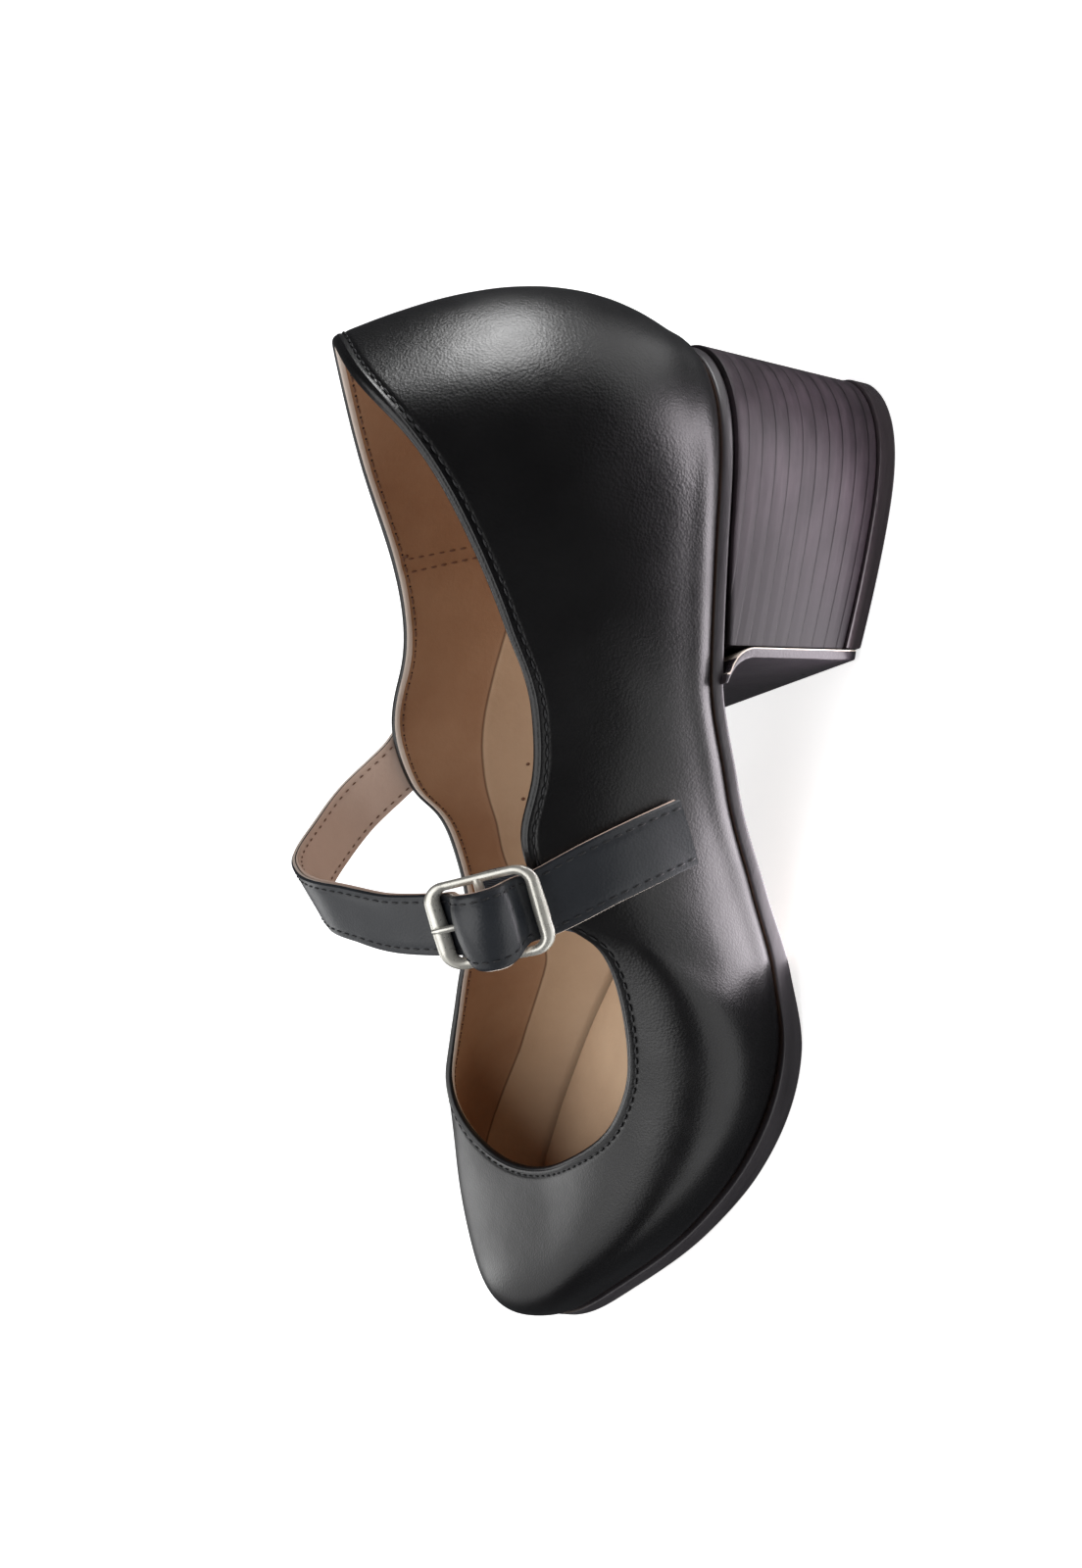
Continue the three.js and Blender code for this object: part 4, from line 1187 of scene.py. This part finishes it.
prong_eye = BAR_DIAMETER / 2 + GAP + PRONG_DIAMETER / 2
prong_top = BUCKLE_WIRE / 2 + GAP + PRONG_DIAMETER / 2
prong_line = smooth_line(
    [on_buckle(prong_eye * math.cos(a), prong_eye * math.sin(a)) for a in np.linspace(-2.6, 2.4, 9)]
    + [
        on_buckle(-bar_reach * 0.45, prong_eye * 0.9),
        on_buckle(-bar_reach * 0.75, prong_top),
        on_buckle(-bar_reach - BUCKLE_WIRE * 0.45, prong_top),
    ]
)


def prong_cross(s):
    step = 0.001
    ahead = unit(prong_line(np.minimum(s + step, 1)) - prong_line(np.maximum(s - step, 0)))
    side = np.outer(np.ones_like(s), buckle_side)
    return side, np.cross(ahead, side)


bm = tube(
    prong_line, prong_cross,
    lambda s: PRONG_DIAMETER / 2 * np.where(s > 0.97, 0.75, 1.0), 90, 14, False,
)
add_piece("buckle_pin", bm, [pale_plate], ["buckle_prong"])

# Buckle tab
# A short piece of blue-grey elastic tape. It is folded round the bar and sewn to the inside of
# the lateral quarter.
TAB_SIDEWAYS = -3.2


def woven_tape(name):
    material, tree, shader, place = surface(name, 0.7)
    ribs = tree.nodes.new("ShaderNodeTexWave")
    ribs.inputs["Scale"].default_value = 700.0
    ribs.inputs["Distortion"].default_value = 0.6
    tree.links.new(place.outputs["Object"], ribs.inputs["Vector"])
    colour = ramp(tree, ribs.outputs["Fac"], [(0.2, (0.040, 0.050, 0.066)), (0.8, (0.10, 0.12, 0.15))])
    tree.links.new(colour, shader.inputs["Base Color"])
    raise_by(tree, shader, [(ribs.outputs["Fac"], 0.00012)])
    return material


tape_blue = woven_tape("tape_blue")
tab_ring = TAB_THICKNESS / 2 + GAP
tab_under = BAR_DIAMETER / 2 + GAP + PRONG_DIAMETER + tab_ring
tab_below = weave + STRAP_THICKNESS / 2 + tab_ring
tab_place = EAR_LATERAL + TAB_SHIFT
ear_line = unit(one_frame(tab_place + 0.01, 1.0)[0] - one_frame(tab_place - 0.01, 1.0)[0])
tab_edge, edge_normal, _, _ = one_frame(tab_place, 1.0)
over_ear = tab_edge + unit(tab_edge - one_frame(tab_place, 0.9)[0]) * (tab_ring + GAP * 6)
over_ear = over_ear - edge_normal * WALL * 0.8
tab_marks = [
    on_buckle(-TAB_THICKNESS, -tab_under, TAB_SIDEWAYS),
    on_buckle(bar_reach * 0.3, -(tab_under + tab_below) / 2, TAB_SIDEWAYS),
    over_ear + buckle_side * TAB_SIDEWAYS * 0.5,
]
tab_sides = [buckle_side, buckle_side, ear_line]
for v in (0.88, 0.74):
    at, normal, _, _ = one_frame(tab_place, v)
    tab_marks.append(at - normal * (WALL + tab_ring + TAB_EASE))
    tab_sides.append(lay_flat(ear_line, normal))
half_tab = TAB_THICKNESS / 2
bm = ribbon(smooth_line(tab_marks), smooth_line(tab_sides), TAB_WIDTH, -half_tab, half_tab, 80)
add_piece("tab_band", bm, [tape_blue], ["buckle_tab"])

# Floor and light
# A pale floor that runs up into a pale backdrop. Soft light comes from above, from behind the heel
# and from the far side, and little from the camera's side, so the leather there stays dark.
PAPER_LENGTH = 5200.0
PAPER_WIDTH = 9000.0
PAPER_BEFORE = 1400.0
PAPER_FLAT = 2300.0
PAPER_BEND = 1500.0


def backdrop_form(s, t):
    run = PAPER_LENGTH * t - PAPER_BEFORE
    past = np.clip((run - PAPER_FLAT) / PAPER_BEND, 0, math.pi / 2)
    straight = np.maximum(run - PAPER_FLAT - PAPER_BEND * math.pi / 2, 0)
    depth = np.minimum(run, PAPER_FLAT) + PAPER_BEND * np.sin(past)
    height = PAPER_BEND * (1 - np.cos(past)) + straight
    x = (s - 0.5) * PAPER_WIDTH
    ahead = np.array([LOOK.x, LOOK.y]) / math.hypot(LOOK.x, LOOK.y)
    return np.stack([
        ORIGIN_IN_LAST[0] + depth * ahead[0] - x * ahead[1],
        ORIGIN_IN_LAST[1] + depth * ahead[1] + x * ahead[0],
        height,
    ], axis=-1)


bm = sheet(6, 60, backdrop_form)
bmesh.ops.recalc_face_normals(bm, faces=bm.faces)
for face in bm.faces:
    face.smooth = True
mesh = bpy.data.meshes.new("floor")
bm.to_mesh(mesh)
bm.free()
floor = bpy.data.objects.new("floor", mesh)
bpy.context.scene.collection.objects.link(floor)
floor_paint, tree, shader, place = surface("floor_paint", 0.9, specular=0.1)
shader.inputs["Base Color"].default_value = (0.8, 0.8, 0.8, 1)
shader.inputs["Emission Color"].default_value = (1, 1, 1, 1)
shader.inputs["Emission Strength"].default_value = 0.75
mesh.materials.append(floor_paint)
floor.visible_glossy = False

world = bpy.data.worlds.new("room")
bpy.context.scene.world = world
world.use_nodes = True
world.node_tree.nodes["Background"].inputs["Color"].default_value = (0.9, 0.93, 1.0, 1)
world.node_tree.nodes["Background"].inputs["Strength"].default_value = 0.06


def soft_light(name, at, target, width, height, glow, colour=(1, 1, 1)):
    """A soft box whose face has the given glow, unseen by the camera."""
    data = bpy.data.lights.new(name, "AREA")
    data.shape = "RECTANGLE"
    data.size = width
    data.size_y = height
    data.energy = glow * math.pi * width * height
    data.color = colour
    lamp = bpy.data.objects.new(name, data)
    bpy.context.scene.collection.objects.link(lamp)
    aim = (Vector(target) - Vector(at)).to_track_quat("-Z", "Y").to_matrix().to_4x4()
    lamp.matrix_world = Matrix.Translation(Vector(at)) @ aim
    lamp.visible_camera = False


sun = bpy.data.lights.new("window", "SUN")
sun.energy = 2.0
sun.angle = math.radians(70)
window = bpy.data.objects.new("window", sun)
bpy.context.scene.collection.objects.link(window)
window.matrix_world = Vector((0.15, 0.25, 1.0)).to_track_quat("Z", "Y").to_matrix().to_4x4()
soft_light("over_toe", (1.1, -0.3, 0.95), (0.06, 0, 0.03), 2.0, 1.2, 0.72)
soft_light("beyond_toe", (0.75, -1.0, 0.55), (0.08, -0.02, 0.03), 0.6, 0.7, 1.6)
soft_light("behind_heel", (-0.40, 0.0, 0.045), (-0.105, 0.018, 0.07), 0.15, 0.08, 11.5)
soft_light("camera_side_low", (0.5, 1.5, 0.12), (0.02, 0.04, 0.03), 1.6, 0.5, 0.10)
for name, x, y, width, height, glow, colour in (
    ("floor_behind_heel", -0.21, 0.02, 0.12, 0.08, 1.0, (1, 1, 1)),
    ("floor_beside_heel", -0.066, 0.034, 0.145, 0.022, 6.2, (1.0, 0.93, 0.99)),
    ("floor_beside_ball", 0.05, 0.11, 0.22, 0.12, 0.95, (1, 1, 1)),
):
    soft_light(name, (x, y, 0.002), (x, y, 1.0), width, height, glow, colour)
